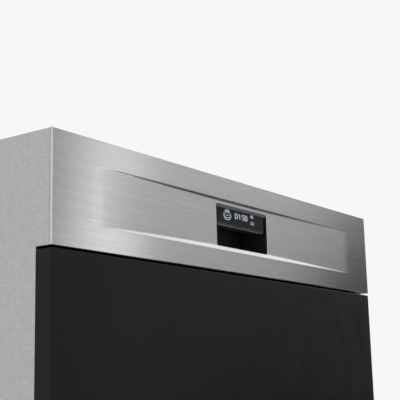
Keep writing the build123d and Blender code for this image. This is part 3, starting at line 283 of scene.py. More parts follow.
# A grey strip painted as the highlight on the display glass's chamfered lower edge
GLASS_EDGE_HIGHLIGHT = moulded("glass_edge_highlight", (0.22, 0.22, 0.225), 0.4, grain=3000.0, depth=0.002)
RIM = moulded(
    "window_rim", (0.006, 0.006, 0.006), 0.6, grain=2600.0, depth=0.003, Specular_IOR_Level=0.15
)
LIP = moulded("window_lip", (0.07, 0.07, 0.07), 0.35, grain=2600.0, depth=0.003)
LIT = lit_glyph("display_white", (0.80, 0.86, 0.92), 0.9)
PRINT = moulded("printed_mark", (0.55, 0.56, 0.57), 0.5, grain=3000.0, depth=0.001)


# Mesh building


def spread(low, high, count):
    """Evenly spaced values from low to high."""
    return [low + (high - low) * k / (count - 1) for k in range(count)]


def angles(count):
    """Evenly spaced angles once round a circle."""
    return [2 * math.pi * k / count for k in range(count)]


def placed(name, data):
    """An object of the scene that holds some data."""
    obj = bpy.data.objects.new(name, data)
    bpy.context.scene.collection.objects.link(obj)
    return obj


class Shape:
    """Collects the points and faces of one piece, in millimetres."""

    def __init__(self):
        self.points = []
        self.faces = []
        self.paints = []

    def add(self, points, faces, paint=0):
        start = len(self.points)
        self.points += [tuple(p) for p in points]
        self.faces += [tuple(start + i for i in face) for face in faces]
        self.paints += [paint] * len(faces)

    def rings(self, rings, closed=False, caps=True, paint=0):
        """Joins rings of equally many points into a skin."""
        count = len(rings[0])
        points = [p for ring in rings for p in ring]
        faces = []
        last = len(rings) if closed else len(rings) - 1
        for r in range(last):
            a, b = r * count, (r + 1) % len(rings) * count
            faces += [(a + i, a + (i + 1) % count, b + (i + 1) % count, b + i) for i in range(count)]
        if caps and not closed:
            faces.append(tuple(reversed(range(count))))
            faces.append(tuple((len(rings) - 1) * count + i for i in range(count)))
        self.add(points, faces, paint)

    def tube(self, path, radius, sides=8, closed=False, paint=0):
        """A round bar along a path of points, with one radius or one for each point."""
        path = [Vector(p) for p in path]
        radii = radius if isinstance(radius, (list, tuple)) else [radius] * len(path)
        rings, side = [], None
        for i, here in enumerate(path):
            before = path[i - 1] if (i or closed) else here
            after = path[(i + 1) % len(path)] if (i + 1 < len(path) or closed) else here
            along = (after - before).normalized()
            if side is None:
                side = along.orthogonal().normalized()
            side = (side - along * side.dot(along)).normalized()
            up = along.cross(side)
            rings.append([
                here + radii[i] * (math.cos(t) * side + math.sin(t) * up)
                for t in angles(sides)
            ])
        self.rings(rings, closed=closed, paint=paint)

    def turned(self, origin, axis, profile, sides=32, paint=0, closed=False):
        """A profile of (radius, distance along the axis) turned round the axis."""
        axis = Vector(axis).normalized()
        side = axis.orthogonal().normalized()
        up = axis.cross(side)
        rings = []
        for radius, along in profile:
            middle = Vector(origin) + axis * along
            rings.append([
                middle + radius * (math.cos(t) * side + math.sin(t) * up)
                for t in angles(sides)
            ])
        self.rings(rings, closed=closed, paint=paint)

    def slab(self, outline, lift, thickness, paint=0, edge=0.0):
        """A flat outline of (u, v) points made solid; lift maps (u, v, w) to a point, w in its thickness."""
        middle = Vector((sum(u for u, _ in outline), sum(v for _, v in outline))) / len(outline)
        rings = []
        for inset, w in ((edge, 0.0), (0.0, edge), (0.0, thickness - edge), (edge, thickness)):
            ring = []
            for point in outline:
                flat = Vector(point)
                inward = (middle - flat).normalized() * inset
                ring.append(lift(flat.x + inward.x, flat.y + inward.y, w))
            rings.append(ring)
        self.rings(rings if edge else [rings[1], rings[2]], paint=paint)

    def block(self, low, high, edge=0.5, paint=0):
        """A box with chamfered edges."""
        (x0, y0, z0), (x1, y1, z1) = low, high
        rings = []
        for inset, z in ((edge, z0), (0, z0 + edge), (0, z1 - edge), (edge, z1)):
            a, b, c, d = x0 + inset, x1 - inset, y0 + inset, y1 - inset
            rings.append([
                (a + edge, c, z), (b - edge, c, z), (b, c + edge, z), (b, d - edge, z),
                (b - edge, d, z), (a + edge, d, z), (a, d - edge, z), (a, c + edge, z),
            ])
        self.rings(rings, paint=paint)

    def piece(self, name, body, materials, replaces=(), crease=35.0):
        """Makes the object, gives it its finish and lets it ride on a CAD body."""
        mesh = bpy.data.meshes.new(name)
        mesh.from_pydata([tuple(c * MM for c in p) for p in self.points], [], self.faces)
        for material in materials if isinstance(materials, (list, tuple)) else [materials]:
            mesh.materials.append(material)
        mesh.polygons.foreach_set("material_index", self.paints)
        mesh.update()
        mesh.validate()
        obj = placed(name, mesh)
        mesh.shade_smooth()
        mesh.set_sharp_from_angle(angle=math.radians(crease))
        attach(obj, body)
        if replaces:
            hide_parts(*replaces)


def rounded(points, radius, steps=4, closed=False):
    """A path whose corners are rounded to a radius."""
    points = [Vector(p) for p in points]
    path = []
    for i, corner in enumerate(points):
        if not closed and i in (0, len(points) - 1):
            path.append(corner)
            continue
        back = points[i - 1] - corner
        ahead = points[(i + 1) % len(points)] - corner
        between = back.angle(ahead)
        reach = min(radius / math.tan(between / 2), 0.49 * back.length, 0.49 * ahead.length)
        start = corner + back.normalized() * reach
        end = corner + ahead.normalized() * reach
        for k in range(steps + 1):
            t = k / steps
            path.append((1 - t) ** 2 * start + 2 * t * (1 - t) * corner + t**2 * end)
    return path


def rounded_rectangle(width, height, radius, steps=6):
    """A flat outline round the origin."""
    outline = []
    for quarter, (sx, sy) in enumerate(((1, 1), (-1, 1), (-1, -1), (1, -1))):
        for k in range(steps + 1):
            t = math.radians(90 * (quarter + k / steps))
            outline.append((
                sx * (width / 2 - radius) + radius * math.cos(t),
                sy * (height / 2 - radius) + radius * math.sin(t),
            ))
    return outline


def soft_min(a, b, blend):
    """The smaller of two values, with a soft change from one to the other."""
    h = max(blend - abs(a - b), 0.0) / blend
    return min(a, b) - h * h * blend / 4


def soft_max(a, b, blend):
    """The larger of two values, with a soft change from one to the other."""
    return -soft_min(-a, -b, blend)


# Fascia

fascia_low, fascia_high = span("fascia_skin")
FASCIA_Y = fascia_low.y
FASCIA_THICK = 1.4
BAND_HALF = 240.0
BAND_DEPTH = 3.0
BAND_LOW = fascia_low.z + 22.6
BAND_HIGH = fascia_low.z + 77.6
LOW_LEDGE = 4.7
HIGH_LEDGE = 1.5
WINDOW_HALF = 50.5
WINDOW_LOW = fascia_low.z + 27.2
WINDOW_HIGH = fascia_low.z + 72.5
WINDOW_RADIUS = 2.5
WINDOW_MIDDLE = (WINDOW_LOW + WINDOW_HIGH) / 2
RIM_RADIUS = 0.8
HOLE_EDGE = 0.35
LEDGE_BLEND = 0.5
FACE_BLEND = 0.2
TINY = 1e-6


def window_distance(x, z):
    """Distance from the window's rounded outline, positive outside it."""
    u = abs(x) - (WINDOW_HALF - WINDOW_RADIUS)
    v = abs(z - WINDOW_MIDDLE) - ((WINDOW_HIGH - WINDOW_LOW) / 2 - WINDOW_RADIUS)
    outside = math.hypot(max(u, 0), max(v, 0))
    return outside + min(max(u, v), 0) - WINDOW_RADIUS


def rolled(distance, radius):
    """How far a rolled edge falls back at a distance from it."""
    if distance >= radius:
        return 0.0
    return radius - math.sqrt(max(radius**2 - (radius - distance) ** 2, 0.0))


def fascia_depth(x, z):
    """How far the face lies behind the fascia's front plane."""
    arc = (BAND_HALF**2 + BAND_DEPTH**2) / (2 * BAND_DEPTH)
    floor = math.sqrt(arc**2 - x**2) - (arc - BAND_DEPTH)
    low_ramp = (z - BAND_LOW) * BAND_DEPTH / LOW_LEDGE
    high_ramp = (BAND_HIGH - z) * BAND_DEPTH / HIGH_LEDGE
    depth = soft_min(soft_min(floor, low_ramp, LEDGE_BLEND), high_ramp, LEDGE_BLEND)
    depth = soft_max(depth, 0.0, FACE_BLEND)
    edge = min(x - fascia_low.x, fascia_high.x - x, z - fascia_low.z, fascia_high.z - z)
    return depth + rolled(edge, RIM_RADIUS) + rolled(max(window_distance(x, z), 0.0), HOLE_EDGE)


def fascia():
    """The pressed steel sheet, with rolled edges and its window, on a grid that follows its forms."""
    near_edge = [0.0, 0.06, 0.2, 0.42, RIM_RADIUS, RIM_RADIUS + 0.2]
    near_hole = [0.0, 0.1, HOLE_EDGE, HOLE_EDGE + 0.15]
    corner = WINDOW_HALF - WINDOW_RADIUS
    over_window = spread(-corner, corner, 15)
    xs = [fascia_low.x + d for d in near_edge] + spread(fascia_low.x + 6, -WINDOW_HALF - 4, 46)
    xs += [-WINDOW_HALF - d for d in reversed(near_hole)]
    xs += over_window + [-x for x in reversed(xs)]
    zs = [fascia_low.z + d for d in near_edge] + spread(fascia_low.z + 3, BAND_LOW - 1.5, 6)
    zs += spread(BAND_LOW - 0.8, WINDOW_LOW - 0.6, 16)
    zs += [WINDOW_LOW - d for d in reversed(near_hole)]
    zs += spread(WINDOW_LOW + WINDOW_RADIUS, WINDOW_HIGH - WINDOW_RADIUS, 7)
    zs += [WINDOW_HIGH + d for d in near_hole] + spread(WINDOW_HIGH + 1.0, BAND_HIGH + 1.0, 14)
    zs += spread(BAND_HIGH + 2, fascia_high.z - 3, 6) + [fascia_high.z - d for d in reversed(near_edge)]
    shape = Shape()
    index = {}

    def vertex(x, z, back):
        key = (round(x, 4), round(z, 4), back)
        if key not in index:
            depth = fascia_depth(x, z)
            index[key] = len(shape.points)
            shape.points.append((x, FASCIA_Y + depth + (FASCIA_THICK if back else 0.0), z))
        return index[key]

    def face(corners):
        shape.faces.append(tuple([vertex(x, z, False) for x, z in corners]))
        shape.faces.append(tuple(reversed([vertex(x, z, True) for x, z in corners])))
        shape.paints += [0, 0]

    def wall(a, b):
        shape.faces.append((vertex(*b, False), vertex(*a, False), vertex(*a, True), vertex(*b, True)))
        shape.paints.append(0)

    for x0, x1 in zip(xs, xs[1:]):
        for z0, z1 in zip(zs, zs[1:]):
            inside = abs(x0 + x1) / 2 < WINDOW_HALF and WINDOW_LOW < (z0 + z1) / 2 < WINDOW_HIGH
            if not inside:
                face([(x0, z0), (x1, z0), (x1, z1), (x0, z1)])
    flat = rounded_rectangle(2 * WINDOW_HALF, WINDOW_HIGH - WINDOW_LOW, WINDOW_RADIUS)
    outline = [(u, v + WINDOW_MIDDLE) for u, v in flat]
    quarter = len(outline) // 4
    quarters = ((1, WINDOW_HIGH), (-1, WINDOW_HIGH), (-1, WINDOW_LOW), (1, WINDOW_LOW))
    for number, (sx, z_edge) in enumerate(quarters):
        arc = outline[number * quarter:(number + 1) * quarter]
        for a, b in zip(arc, arc[1:]):
            face([(sx * WINDOW_HALF, z_edge), b, a])
            wall(b, a)
    hole_half = (WINDOW_HIGH - WINDOW_LOW) / 2 - WINDOW_RADIUS
    hole_z = [z for z in zs if abs(z - WINDOW_MIDDLE) <= hole_half + TINY]
    for a, b in zip(over_window, over_window[1:]):
        wall((a, WINDOW_LOW), (b, WINDOW_LOW))
        wall((b, WINDOW_HIGH), (a, WINDOW_HIGH))
    for a, b in zip(hole_z, hole_z[1:]):
        wall((WINDOW_HALF, a), (WINDOW_HALF, b))
        wall((-WINDOW_HALF, b), (-WINDOW_HALF, a))
    for a, b in zip(xs, xs[1:]):
        wall((b, zs[0]), (a, zs[0]))
        wall((a, zs[-1]), (b, zs[-1]))
    for a, b in zip(zs, zs[1:]):
        wall((xs[0], a), (xs[0], b))
        wall((xs[-1], b), (xs[-1], a))
    shape.piece("fascia_plate", "door", FASCIA, ["fascia_skin"], crease=40)


# Display

LIP_GAP = 0.15
LIP_LEFT = 2.3
LIP_RIGHT = 2.4
LIP_TOP = 2.8
FIGURE_TOP = 782.0
FIGURE_FOOT = 776.4
FIGURE_STROKE = 1.0
ZERO_RADIUS = 1.4
COLON_X = 2.2
COLON_RADIUS = 0.75
FIVE = [
    (8.3, FIGURE_TOP), (5.1, FIGURE_TOP), (4.8, 779.8), (6.8, 779.9),
    (8.4, 778.9), (8.3, 777.2), (6.8, FIGURE_FOOT), (4.7, 776.9),
]
BOWL_X = -25.2
BOWL_RIM = 779.3
BOWL_HALF = 7.1
BOWL_TILT = 1.5
BOWL_DROP = 3.0
STEAM_FOOT = 781.5
STEAM_HALF = 1.1
STAR = (24.0, 782.6)
DIAMOND_Z = 775.0
# Pale strips on the display module's face, painted highlights for the thin light lines along its lower edge
# and at its right-hand bezel step: start and end corners in X and Z
SCREEN_HIGHLIGHT_LINES = [((-44.0, 767.6), (46.0, 768.0)), ((45.6, 768.6), (45.9, 785.6))]


def window_lip(shape):
    """The housing's black rim inside the steel window: a bar at each side and a sloped lip along the top."""
    left, right, top = LIP_GAP - WINDOW_HALF, WINDOW_HALF - LIP_GAP, WINDOW_HIGH - LIP_GAP
    front = FASCIA_Y + BAND_DEPTH + 0.25
    back = FASCIA_Y + BAND_DEPTH + FASCIA_THICK - 0.1
    inner_left, inner_right, inner_top = left + LIP_LEFT, right - LIP_RIGHT, top - LIP_TOP
    for x0, x1 in ((left, inner_left), (inner_right, right)):
        shape.block((x0, front + 0.4, WINDOW_LOW + 0.2), (x1, back, top - 0.4), edge=0.2)
    profile = [(top, front), (inner_top, back - 0.3), (inner_top, back), (top, back)]
    shape.rings([[(x, y, z) for z, y in profile] for x in spread(inner_left, inner_right, 9)], paint=1)


def rounded_box(x0, z0, x1, z1, radius):
    """A flat rounded outline between two corners."""
    flat = rounded_rectangle(x1 - x0, z1 - z0, radius, 4)
    return [(u + (x0 + x1) / 2, v + (z0 + z1) / 2) for u, v in flat]


def figures(write, dot):
    """A clock time, a bowl with steam, a star and two diamonds, drawn with strokes in X and Z."""
    for x, wide in ((-10.0, 4.2), (10.4, 3.5)):
        write(rounded_box(x, FIGURE_FOOT, x + wide, FIGURE_TOP, ZERO_RADIUS), FIGURE_STROKE, True)
    write([(-2.9, FIGURE_TOP - 1.4), (-1.1, FIGURE_TOP), (-1.1, FIGURE_FOOT)], FIGURE_STROKE)
    for z in (777.6, 780.4):
        dot(COLON_X, z, COLON_RADIUS)
    write(FIVE, FIGURE_STROKE)
    ring = [(BOWL_X + BOWL_HALF * math.cos(t), BOWL_RIM + BOWL_TILT * math.sin(t)) for t in angles(24)]
    write(ring, 0.7, True)
    for drop, wide in ((1.2, BOWL_HALF), (3.3, 6.0)):
        floor = BOWL_RIM - drop
        arc = [(BOWL_X - wide * math.cos(t), floor - BOWL_DROP * math.sin(t)) for t in spread(0, math.pi, 13)]
        write(arc, 0.8)
    for x, tall in ((BOWL_X - 3.2, 2.6), (BOWL_X, 3.4), (BOWL_X + 3.2, 2.4)):
        write([(x - STEAM_HALF, STEAM_FOOT), (x, STEAM_FOOT + tall), (x + STEAM_HALF, STEAM_FOOT)], 0.9)
    for k in range(3):
        u, v = 3.4 * math.cos(math.pi * k / 3), 2.2 * math.sin(math.pi * k / 3)
        write([(STAR[0] - u, STAR[1] - v), (STAR[0] + u, STAR[1] + v)], 0.8)
    for x in (22.3, 26.4):
        corners = [(x - 1.6, DIAMOND_Z), (x, DIAMOND_Z - 2), (x + 1.6, DIAMOND_Z), (x, DIAMOND_Z + 2)]
        write(corners, 0.7, True)


def display():
    """The glass with a lit time and symbols on the module behind it, pale and grey strips painted as
    highlights along the display's edges, and the rim round it.
    """
    low, high = span("display_window")
    middle_z = (low.z + high.z) / 2
    glass_back = high.y - 0.45

    def on_glass(u, v, w):
        return u, glass_back - w, middle_z + v

    glass = Shape()
    pane = rounded_rectangle(high.x - low.x, high.z - low.z, 1.5)
    glass.slab(pane, on_glass, glass_back - low.y, edge=0.35)
    glass.piece("display_glass", "door", GLASS, ["display_window"])

    module_low, module_high = span("display_module")
    module = Shape()
    module.block(module_low, module_high, edge=0.8)
    face_y = module_low.y - 0.02
    # Pale strips on the module's face: painted highlights for the display's lower edge line and its
    # right-hand bezel step
    for (x0, z0), (x1, z1) in SCREEN_HIGHLIGHT_LINES:
        module.block((x0, face_y - 0.1, z0), (x1, face_y + 0.1, z1), edge=0.05, paint=1)
    module.piece("display_module_body", "door", [SCREEN, SCREEN_HIGHLIGHT], ["display_module"])

    # A grey strip just under the glass: a painted highlight standing in for the light on the glass's
    # chamfered lower edge
    edge = Shape()
    highlight_low = (low.x + 2.0, low.y + 0.5, low.z - 0.45)
    highlight_high = (high.x - 8.0, high.y - 0.4, low.z - 0.02)
    edge.block(highlight_low, highlight_high, edge=0.15)
    edge.piece("lower_edge_highlight_strip", "door", GLASS_EDGE_HIGHLIGHT)

    rim = Shape()
    window_lip(rim)
    rim.piece("window_rim", "door", [RIM, LIP])

    text_y = module_low.y - 0.12
    lit = Shape()

    def write(points, width, closed=False):
        lit.tube([(x, text_y, z) for x, z in points], width / 2, sides=6, closed=closed)

    def dot(x, z, radius):
        profile = [(0.6 * radius, 0.0), (radius, 0.06), (radius, 0.14)]
        lit.turned((x, text_y - 0.1, z), (0, 1, 0), profile, sides=12)

    figures(write, dot)
    lit.piece("display_figures", "door", LIT)


# Racks

# Centre distance of two welded wires, as a share of their diameter
WELD = 0.8
RACK_PITCH = (34.0, 34.0)
COMB_START = -135.0
COMB_PITCH = 31.0
COMB_COUNT = 11
COMB_PAST = 22.0
LOWER_WIRE = 1.9
UPPER_WIRE = 1.8
FOLD_AXIS_UP = 2.0
FOLD_COUNT = 10
FOLD_IN = 20.0
BEARING_HALF = 2.0
BEARING = [(2.3, 0.0), (5.4, 0.0), (5.9, 0.5), (5.9, 3.5), (5.4, 4.0), (2.3, 4.0)]
TRAY_HALF = 252.0
TRAY_PITCH = (11.4, 51.0)
DIVIDER_X = 90.0
DIVIDER_IN = 4.5
DIVIDER_THICK = 2.4


def hoop(shape, half_x, y_low, y_high, z, radius, corner):
    """A level closed wire."""
    corners = [(-half_x, y_low, z), (half_x, y_low, z), (half_x, y_high, z), (-half_x, y_high, z)]
    shape.tube(rounded(corners, corner, closed=True), radius, closed=True)


def wire_box(shape, half_x, low, high, pitch, wire, rim, shares, corner=16.0):
    """Welded wires between two corners: hoops at shares of the height, and wires down, across and up."""
    for share in shares:
        level = low.z + share * (high.z - low.z)
        hoop(shape, half_x - wire, low.y + wire, high.y - wire, level, wire, corner)
    top = high.z - rim
    hoop(shape, half_x - rim, low.y + rim, high.y - rim, top, rim, corner)
    inset = wire * (2 + WELD)
    x, y0, y1 = half_x - inset, low.y + inset, high.y - inset
    cross = spread(y0, y1, max(2, round((y1 - y0) / pitch[1])) + 1)[1:-1]
    along = spread(-x, x, max(2, round(2 * x / pitch[0])) + 1)[1:-1]
    floor = low.z + wire
    for y in cross:
        path = [(-x, y, top), (-x, y, floor), (x, y, floor), (x, y, top)]
        shape.tube(rounded(path, corner * 0.7), wire)
    floor += 2 * WELD * wire
    for here in along:
        path = [(here, y0, top), (here, y0, floor), (here, y1, floor), (here, y1, top)]
        shape.tube(rounded(path, corner * 0.7), wire)
    return floor


def tine(shape, x, y, z_low, z_high, radius):
    """An upright pin with a rounded tip."""
    height = z_high - z_low
    tip = [(2.0, 1.0), (0.9, 0.86), (0.25, 0.5), (0.0, 0.1)]
    path = [(x, y, z_low)] + [(x, y, z_low + height - below * radius) for below, _ in tip]
    shape.tube(path, [radius] + [share * radius for _, share in tip], sides=8)


def comb(shape, x, z, z_high, radius):
    """A row of tines on a base wire along the rack."""
    last = COMB_START + (COMB_COUNT - 1) * COMB_PITCH
    shape.tube([(x, COMB_START - COMB_PAST, z), (x, last + COMB_PAST, z)], radius)
    for k in range(COMB_COUNT):
        tine(shape, x, COMB_START + k * COMB_PITCH, z, z_high, radius)


def grip(shape, width, height, corner, y, z, thickness):
    """A moulded grip plate on a rack's front."""
    plate = rounded_rectangle(width, height, corner)
    shape.slab(plate, lambda u, v, w: (u, y + w, z + v), thickness, paint=1, edge=1.2)


def lower_rack():
    """The lower rack with its fixed tines, and the row of folding tines on its axle."""
    low, high = span("lower_rack")
    shape = Shape()
    floor = wire_box(shape, high.x, low, high, RACK_PITCH, LOWER_WIRE, 2.6, (0.2, 0.46, 0.72))
    for x in (-205.0, -140.0, -75.0, 195.0):
        comb(shape, x, floor + 3.0, low.z + 84.3, LOWER_WIRE)
    fold_low, fold_high = span("folding_tines")
    axis_x = (fold_low.x + fold_high.x) / 2
    axis_z = fold_low.z + FOLD_AXIS_UP
    for y in (fold_low.y + 4.0, fold_high.y - 4.0):
        foot = y - BEARING_HALF
        shape.turned((axis_x, foot, axis_z), (0, 1, 0), BEARING, sides=20, paint=1, closed=True)
        post_high = (axis_x + 5, y + BEARING_HALF, axis_z - 4.0)
        shape.block((axis_x - 5, foot, floor + 1.0), post_high, paint=1)
    grip(shape, 150.0, 15.0, 7.0, low.y + 0.2, high.z - 9.0, 6.4)
    shape.piece("lower_rack_wires", "rack_lower", [COAT, GREY], ["lower_rack"])

    shape = Shape()
    shape.tube([(axis_x, fold_low.y, axis_z), (axis_x, fold_high.y, axis_z)], 2.0)
    for k in range(FOLD_COUNT):
        tine(shape, axis_x, fold_low.y + FOLD_IN + COMB_PITCH * k, axis_z, fold_high.z, LOWER_WIRE)
    shape.piece("folding_tine_row", "tines", COAT, ["folding_tines"])


def upper_rack():
    """The upper rack with its rows of tines."""
    low, high = span("upper_rack")
    shape = Shape()
    floor = wire_box(shape, high.x, low, high, RACK_PITCH, UPPER_WIRE, 2.4, (0.22, 0.5, 0.76))
    for x in (-120.0, 0.0, 120.0):
        comb(shape, x, floor + 2.8, low.z + 44.3, UPPER_WIRE)
    grip(shape, 130.0, 13.0, 6.0, low.y + 0.2, high.z - 8.0, 6.0)
    shape.piece("upper_rack_wires", "rack_upper", [COAT, GREY], ["upper_rack"])


def cutlery_tray():
    """The flat tray with two scalloped dividers and a glide at each side."""
    low, high = span("cutlery_tray")
    shape = Shape()
    height = high.z - low.z
    shares = (9.0 / height, 17.0 / height)
    wire_box(shape, TRAY_HALF, low, high, TRAY_PITCH, 1.15, 1.9, shares, corner=10.0)
    foot = low.z + 3.2
    front, rear = low.y + DIVIDER_IN, high.y - DIVIDER_IN
    outline = [(front, foot), (rear, foot)]
    for k, y in enumerate(reversed(spread(front, rear, 121))):
        outline.append((y, low.z + 16.4 + 2.6 * math.cos(2 * math.pi * k / 6)))
    for x in (-DIVIDER_X, DIVIDER_X):
        side_x = x - DIVIDER_THICK / 2
        shape.slab(outline, lambda u, v, w: (side_x + w, u, v), DIVIDER_THICK, paint=1)
    for side in (-1, 1):
        x0, x1 = sorted((side * (TRAY_HALF + 0.3), side * high.x))
        shape.block((x0, low.y + 8.0, low.z + 7.0), (x1, high.y - 26.0, low.z + 17.5), edge=1.2, paint=1)
    shape.piece("cutlery_tray_wires", "tray", [COAT, GREY], ["cutlery_tray"])


# Spray arms and wheels

HUB_RISE = 8.0
HUB_ROOF = 2.8
BLADE_THICK = 11.0
BLADE_HALF = 5.0
BLADE_START = 18.0
BLADE_RINGS = 22
JET_SEAT = [(3.9, 0.0), (3.3, 1.8), (2.8, 2.15), (1.9, 2.15), (1.5, 1.1)]
JET_HOLE = [(1.45, 0.0), (1.45, 0.05)]
JET_COUNT = 6
JET_START = 45.0
JET_PITCH = 28.0
JET_ASIDE = 6.0
WHEEL_HALF = 10.0
WHEEL = [
    (4.2, 0.2), (7.0, 0.2), (7.6, 0.8), (7.6, 2.6), (15.2, 3.4), (16.4, 0.9), (17.0, 0.4),
    (19.0, 0.4), (19.9, 1.6), (20.0, 5.0), (19.9, 8.4), (19.0, 9.6), (17.0, 9.6), (16.4, 9.1),
    (15.2, 6.6), (7.6, 7.4), (7.6, 9.4), (7.0, 9.9), (4.2, 9.9),
]
WHEEL_RIB = [(7.3, -0.8), (15.8, -0.8), (15.8, 0.8), (7.3, 0.8)]
RIB_START = 1.6
RIB_DEPTH = 6.8


def blade_ring(x, side, reach, middle_y, middle_z):
    """One section of an arm's blade, which narrows outwards and closes in a round tip."""
    run = x / reach
    tip = math.sqrt(max(1 - max(run - 0.90, 0) ** 2 / 0.01, 0.0))
    half_y = (22.6 - 5.2 * run) * max(tip, 0.05)
    half_z = (4.9 - 1.0 * run) * max(tip, 0.22)
    ring = []
    for a in angles(24):
        u = math.copysign(abs(math.cos(a)) ** 0.62, math.cos(a))
        v = math.copysign(abs(math.sin(a)) ** 0.75, math.sin(a))
        ring.append((side * x, middle_y + half_y * u, middle_z + half_z * v))
    return ring if side > 0 else ring[::-1]


def spray_arm(name, node, body, hub_up):
    """A crowned hollow blade each side of a hub, with its jets in raised seats."""
    low, high = span(node)
    middle_y = (low.y + high.y) / 2
    facing = 1 if hub_up else -1
    back = high.z if hub_up else low.z
    blade_z = back - facing * (HUB_RISE + BLADE_HALF)
    shape = Shape()
    for side in (-1, 1):
        rings = []
        for t in spread(0, 1, BLADE_RINGS):
            x = BLADE_START + (high.x - BLADE_START) * math.sin(t * math.pi / 2)
            rings.append(blade_ring(x, side, high.x, middle_y, blade_z))
        shape.rings(rings)
    jet_z = low.z + BLADE_THICK if hub_up else high.z
    for number in range(JET_COUNT):
        for side in (-1, 1):
            x, y = side * (JET_START + JET_PITCH * number), middle_y + JET_ASIDE * side
            shape.turned((x, y, jet_z - 2.2), (0, 0, 1), JET_SEAT, sides=14)
            shape.turned((x, y, jet_z - 1.15), (0, 0, 1), JET_HOLE, sides=10, paint=1)
    bore = 10.35 if hub_up else 14.35
    collar, end = HUB_RISE, HUB_RISE + BLADE_THICK
    profile = [
        (bore, 0.0), (23.4, 0.0), (24.0, 0.6), (24.0, collar), (33.6, collar + 0.3), (34.4, collar + 1.4),
        (34.4, collar + 6.5), (31.5, collar + 9.6), (22.0, end), (0.05, end), (0.05, end - HUB_ROOF),
        (bore, end - HUB_ROOF),
    ]
    shape.turned((0, middle_y, back), (0, 0, -facing), profile, sides=40)
    if not hub_up:
        rib_z = high.z - 1.6
        for a in angles(3):
            near = (4.0 * math.cos(a), middle_y + 4.0 * math.sin(a), rib_z)
            far = (30.0 * math.cos(a), middle_y + 30.0 * math.sin(a), rib_z)
            shape.tube([near, far], 1.5, sides=8)
    shape.piece(name, body, [GREY, BLACK], [node])


def wheels():
    """Rack wheels: a rounded tread, a recessed web with ribs and a hub."""
    for place in ("front", "mid_front", "mid_rear", "rear"):
        low, high = span(f"wheels_{place}")
        y, z = (low.y + high.y) / 2, (low.z + high.z) / 2
        inner_x = high.x - WHEEL_HALF
        shape = Shape()
        for side in (-1, 1):
            shape.turned((side * inner_x, y, z), (side, 0, 0), WHEEL, sides=40, closed=True)
            for a in angles(6):
                out = Vector((0, math.cos(a), math.sin(a)))
                across = Vector((0, -math.sin(a), math.cos(a)))

                def lift(u, v, w):
                    return Vector((side * (inner_x + w + RIB_START), y, z)) + out * u + across * v

                shape.slab(WHEEL_RIB, lift, RIB_DEPTH)
        shape.piece(f"wheel_pair_{place}", f"wheels_{place}", GREY, [f"wheels_{place}"])


# Gasket, springs and small parts


def gasket():
    """A rubber bead with a foot, bent round the tub's mouth."""
    low, high = span("tub_gasket")
    inset = 4.5
    half_x = high.x - inset
    middle = (low.z + high.z) / 2
    foot, head = low.z + inset, high.z - inset
    corners = [(half_x, 0, foot), (half_x, 0, head), (-half_x, 0, head), (-half_x, 0, foot)]
    path = rounded(corners, 11.0, steps=8, closed=True)
    depth = high.y - low.y
    bead = [math.radians(degrees) for degrees in range(205, -26, -23)]
    profile = [(-4.2, depth), (-4.2, depth - 1.2), (-2.4, depth - 1.9)]
    profile += [(3.3 * math.cos(a), 2.75 - 2.55 * math.sin(a)) for a in bead]
    profile += [(2.4, depth - 1.9), (4.2, depth - 1.2), (4.2, depth)]
    rings = []
    for i, here in enumerate(path):
        along = (path[(i + 1) % len(path)] - path[i - 1]).normalized()
        outward = Vector((0, 1, 0)).cross(along).normalized()
        if outward.dot(Vector((here.x, 0, here.z - middle))) < 0:
            outward = -outward
        rings.append([(here.x + outward.x * u, low.y + v, here.z + outward.z * u) for u, v in profile])
    shape = Shape()
    shape.rings(rings, closed=True)
    shape.piece("gasket_bead", "cabinet", RUBBER, ["tub_gasket"], crease=50)


def springs():
    """Two close-wound door springs, each with a straight leg along its axis at both ends."""
    low, high = span("door_springs")
    half = (high.z - low.z) / 2
    coil, wire, turns, per_turn = half - 1.0, 0.95, 46, 10
    z = (low.z + high.z) / 2
    shape = Shape()
    for side in (-1, 1):
        x = side * (high.x - half)
        path = [(x, low.y + 1.0, z), (x, low.y + 8.0, z)]
        for k, y in enumerate(spread(low.y + 12.0, high.y - 12.0, turns * per_turn + 1)):
            a = 2 * math.pi * k / per_turn
            path.append((x + coil * math.cos(a), y, z + coil * math.sin(a)))
        path += [(x, high.y - 8.0, z), (x, high.y - 1.0, z)]
        shape.tube(path, wire, sides=6)
    shape.piece("spring_coils", "cabinet", SPRING, ["door_springs"])


def key_marks():
    """Small printed signs on the keys: on and off, a choice, more, and start."""
    ring = [math.radians(degrees) for degrees in range(35, 326, 10)]
    marks = {
        "power": [[(1.9 * math.sin(a), 1.9 * math.cos(a)) for a in ring], [(0, 0.7), (0, 2.6)]],
        "program": [[(-2.2, v), (2.2, v)] for v in (1.5, 0, -1.5)],
        "options": [[(-2.0, 0), (2.0, 0)], [(0, -2.0), (0, 2.0)]],
        "start": [[(-1.4, 1.9), (1.9, 0), (-1.4, -1.9), (-1.4, 1.9)]],
    }
    for key, lines in marks.items():
        low, high = span(f"button_{key}")
        x, y = (low.x + high.x) / 2, (low.y + high.y) / 2
        shape = Shape()
        for line in lines:
            shape.tube([(x + u, y + v, high.z - 0.02) for u, v in line], 0.22, sides=6)
        shape.piece(f"mark_{key}", f"button_{key}", PRINT)


def screws():
    """Countersunk screw heads along the door liner's edges, with a cross in each."""
    low, high = span("door_liner")
    head = [(2.1, 0.0), (2.1, 0.25), (1.5, 0.62)]
    cross_y = high.y + 0.5
    shape = Shape()
    for side in (-1, 1):
        x = side * (high.x - 2.6)
        for z in (235.0, 395.0, 555.0, 715.0):
            shape.turned((x, high.y - 0.1, z), (0, 1, 0), head, sides=16)
            for u, v in ((1.1, 0.0), (0.0, 1.1)):
                shape.tube([(x - u, cross_y, z - v), (x + u, cross_y, z + v)], 0.2, sides=4, paint=1)
    shape.piece("liner_screws", "door", [PLATED, BLACK])


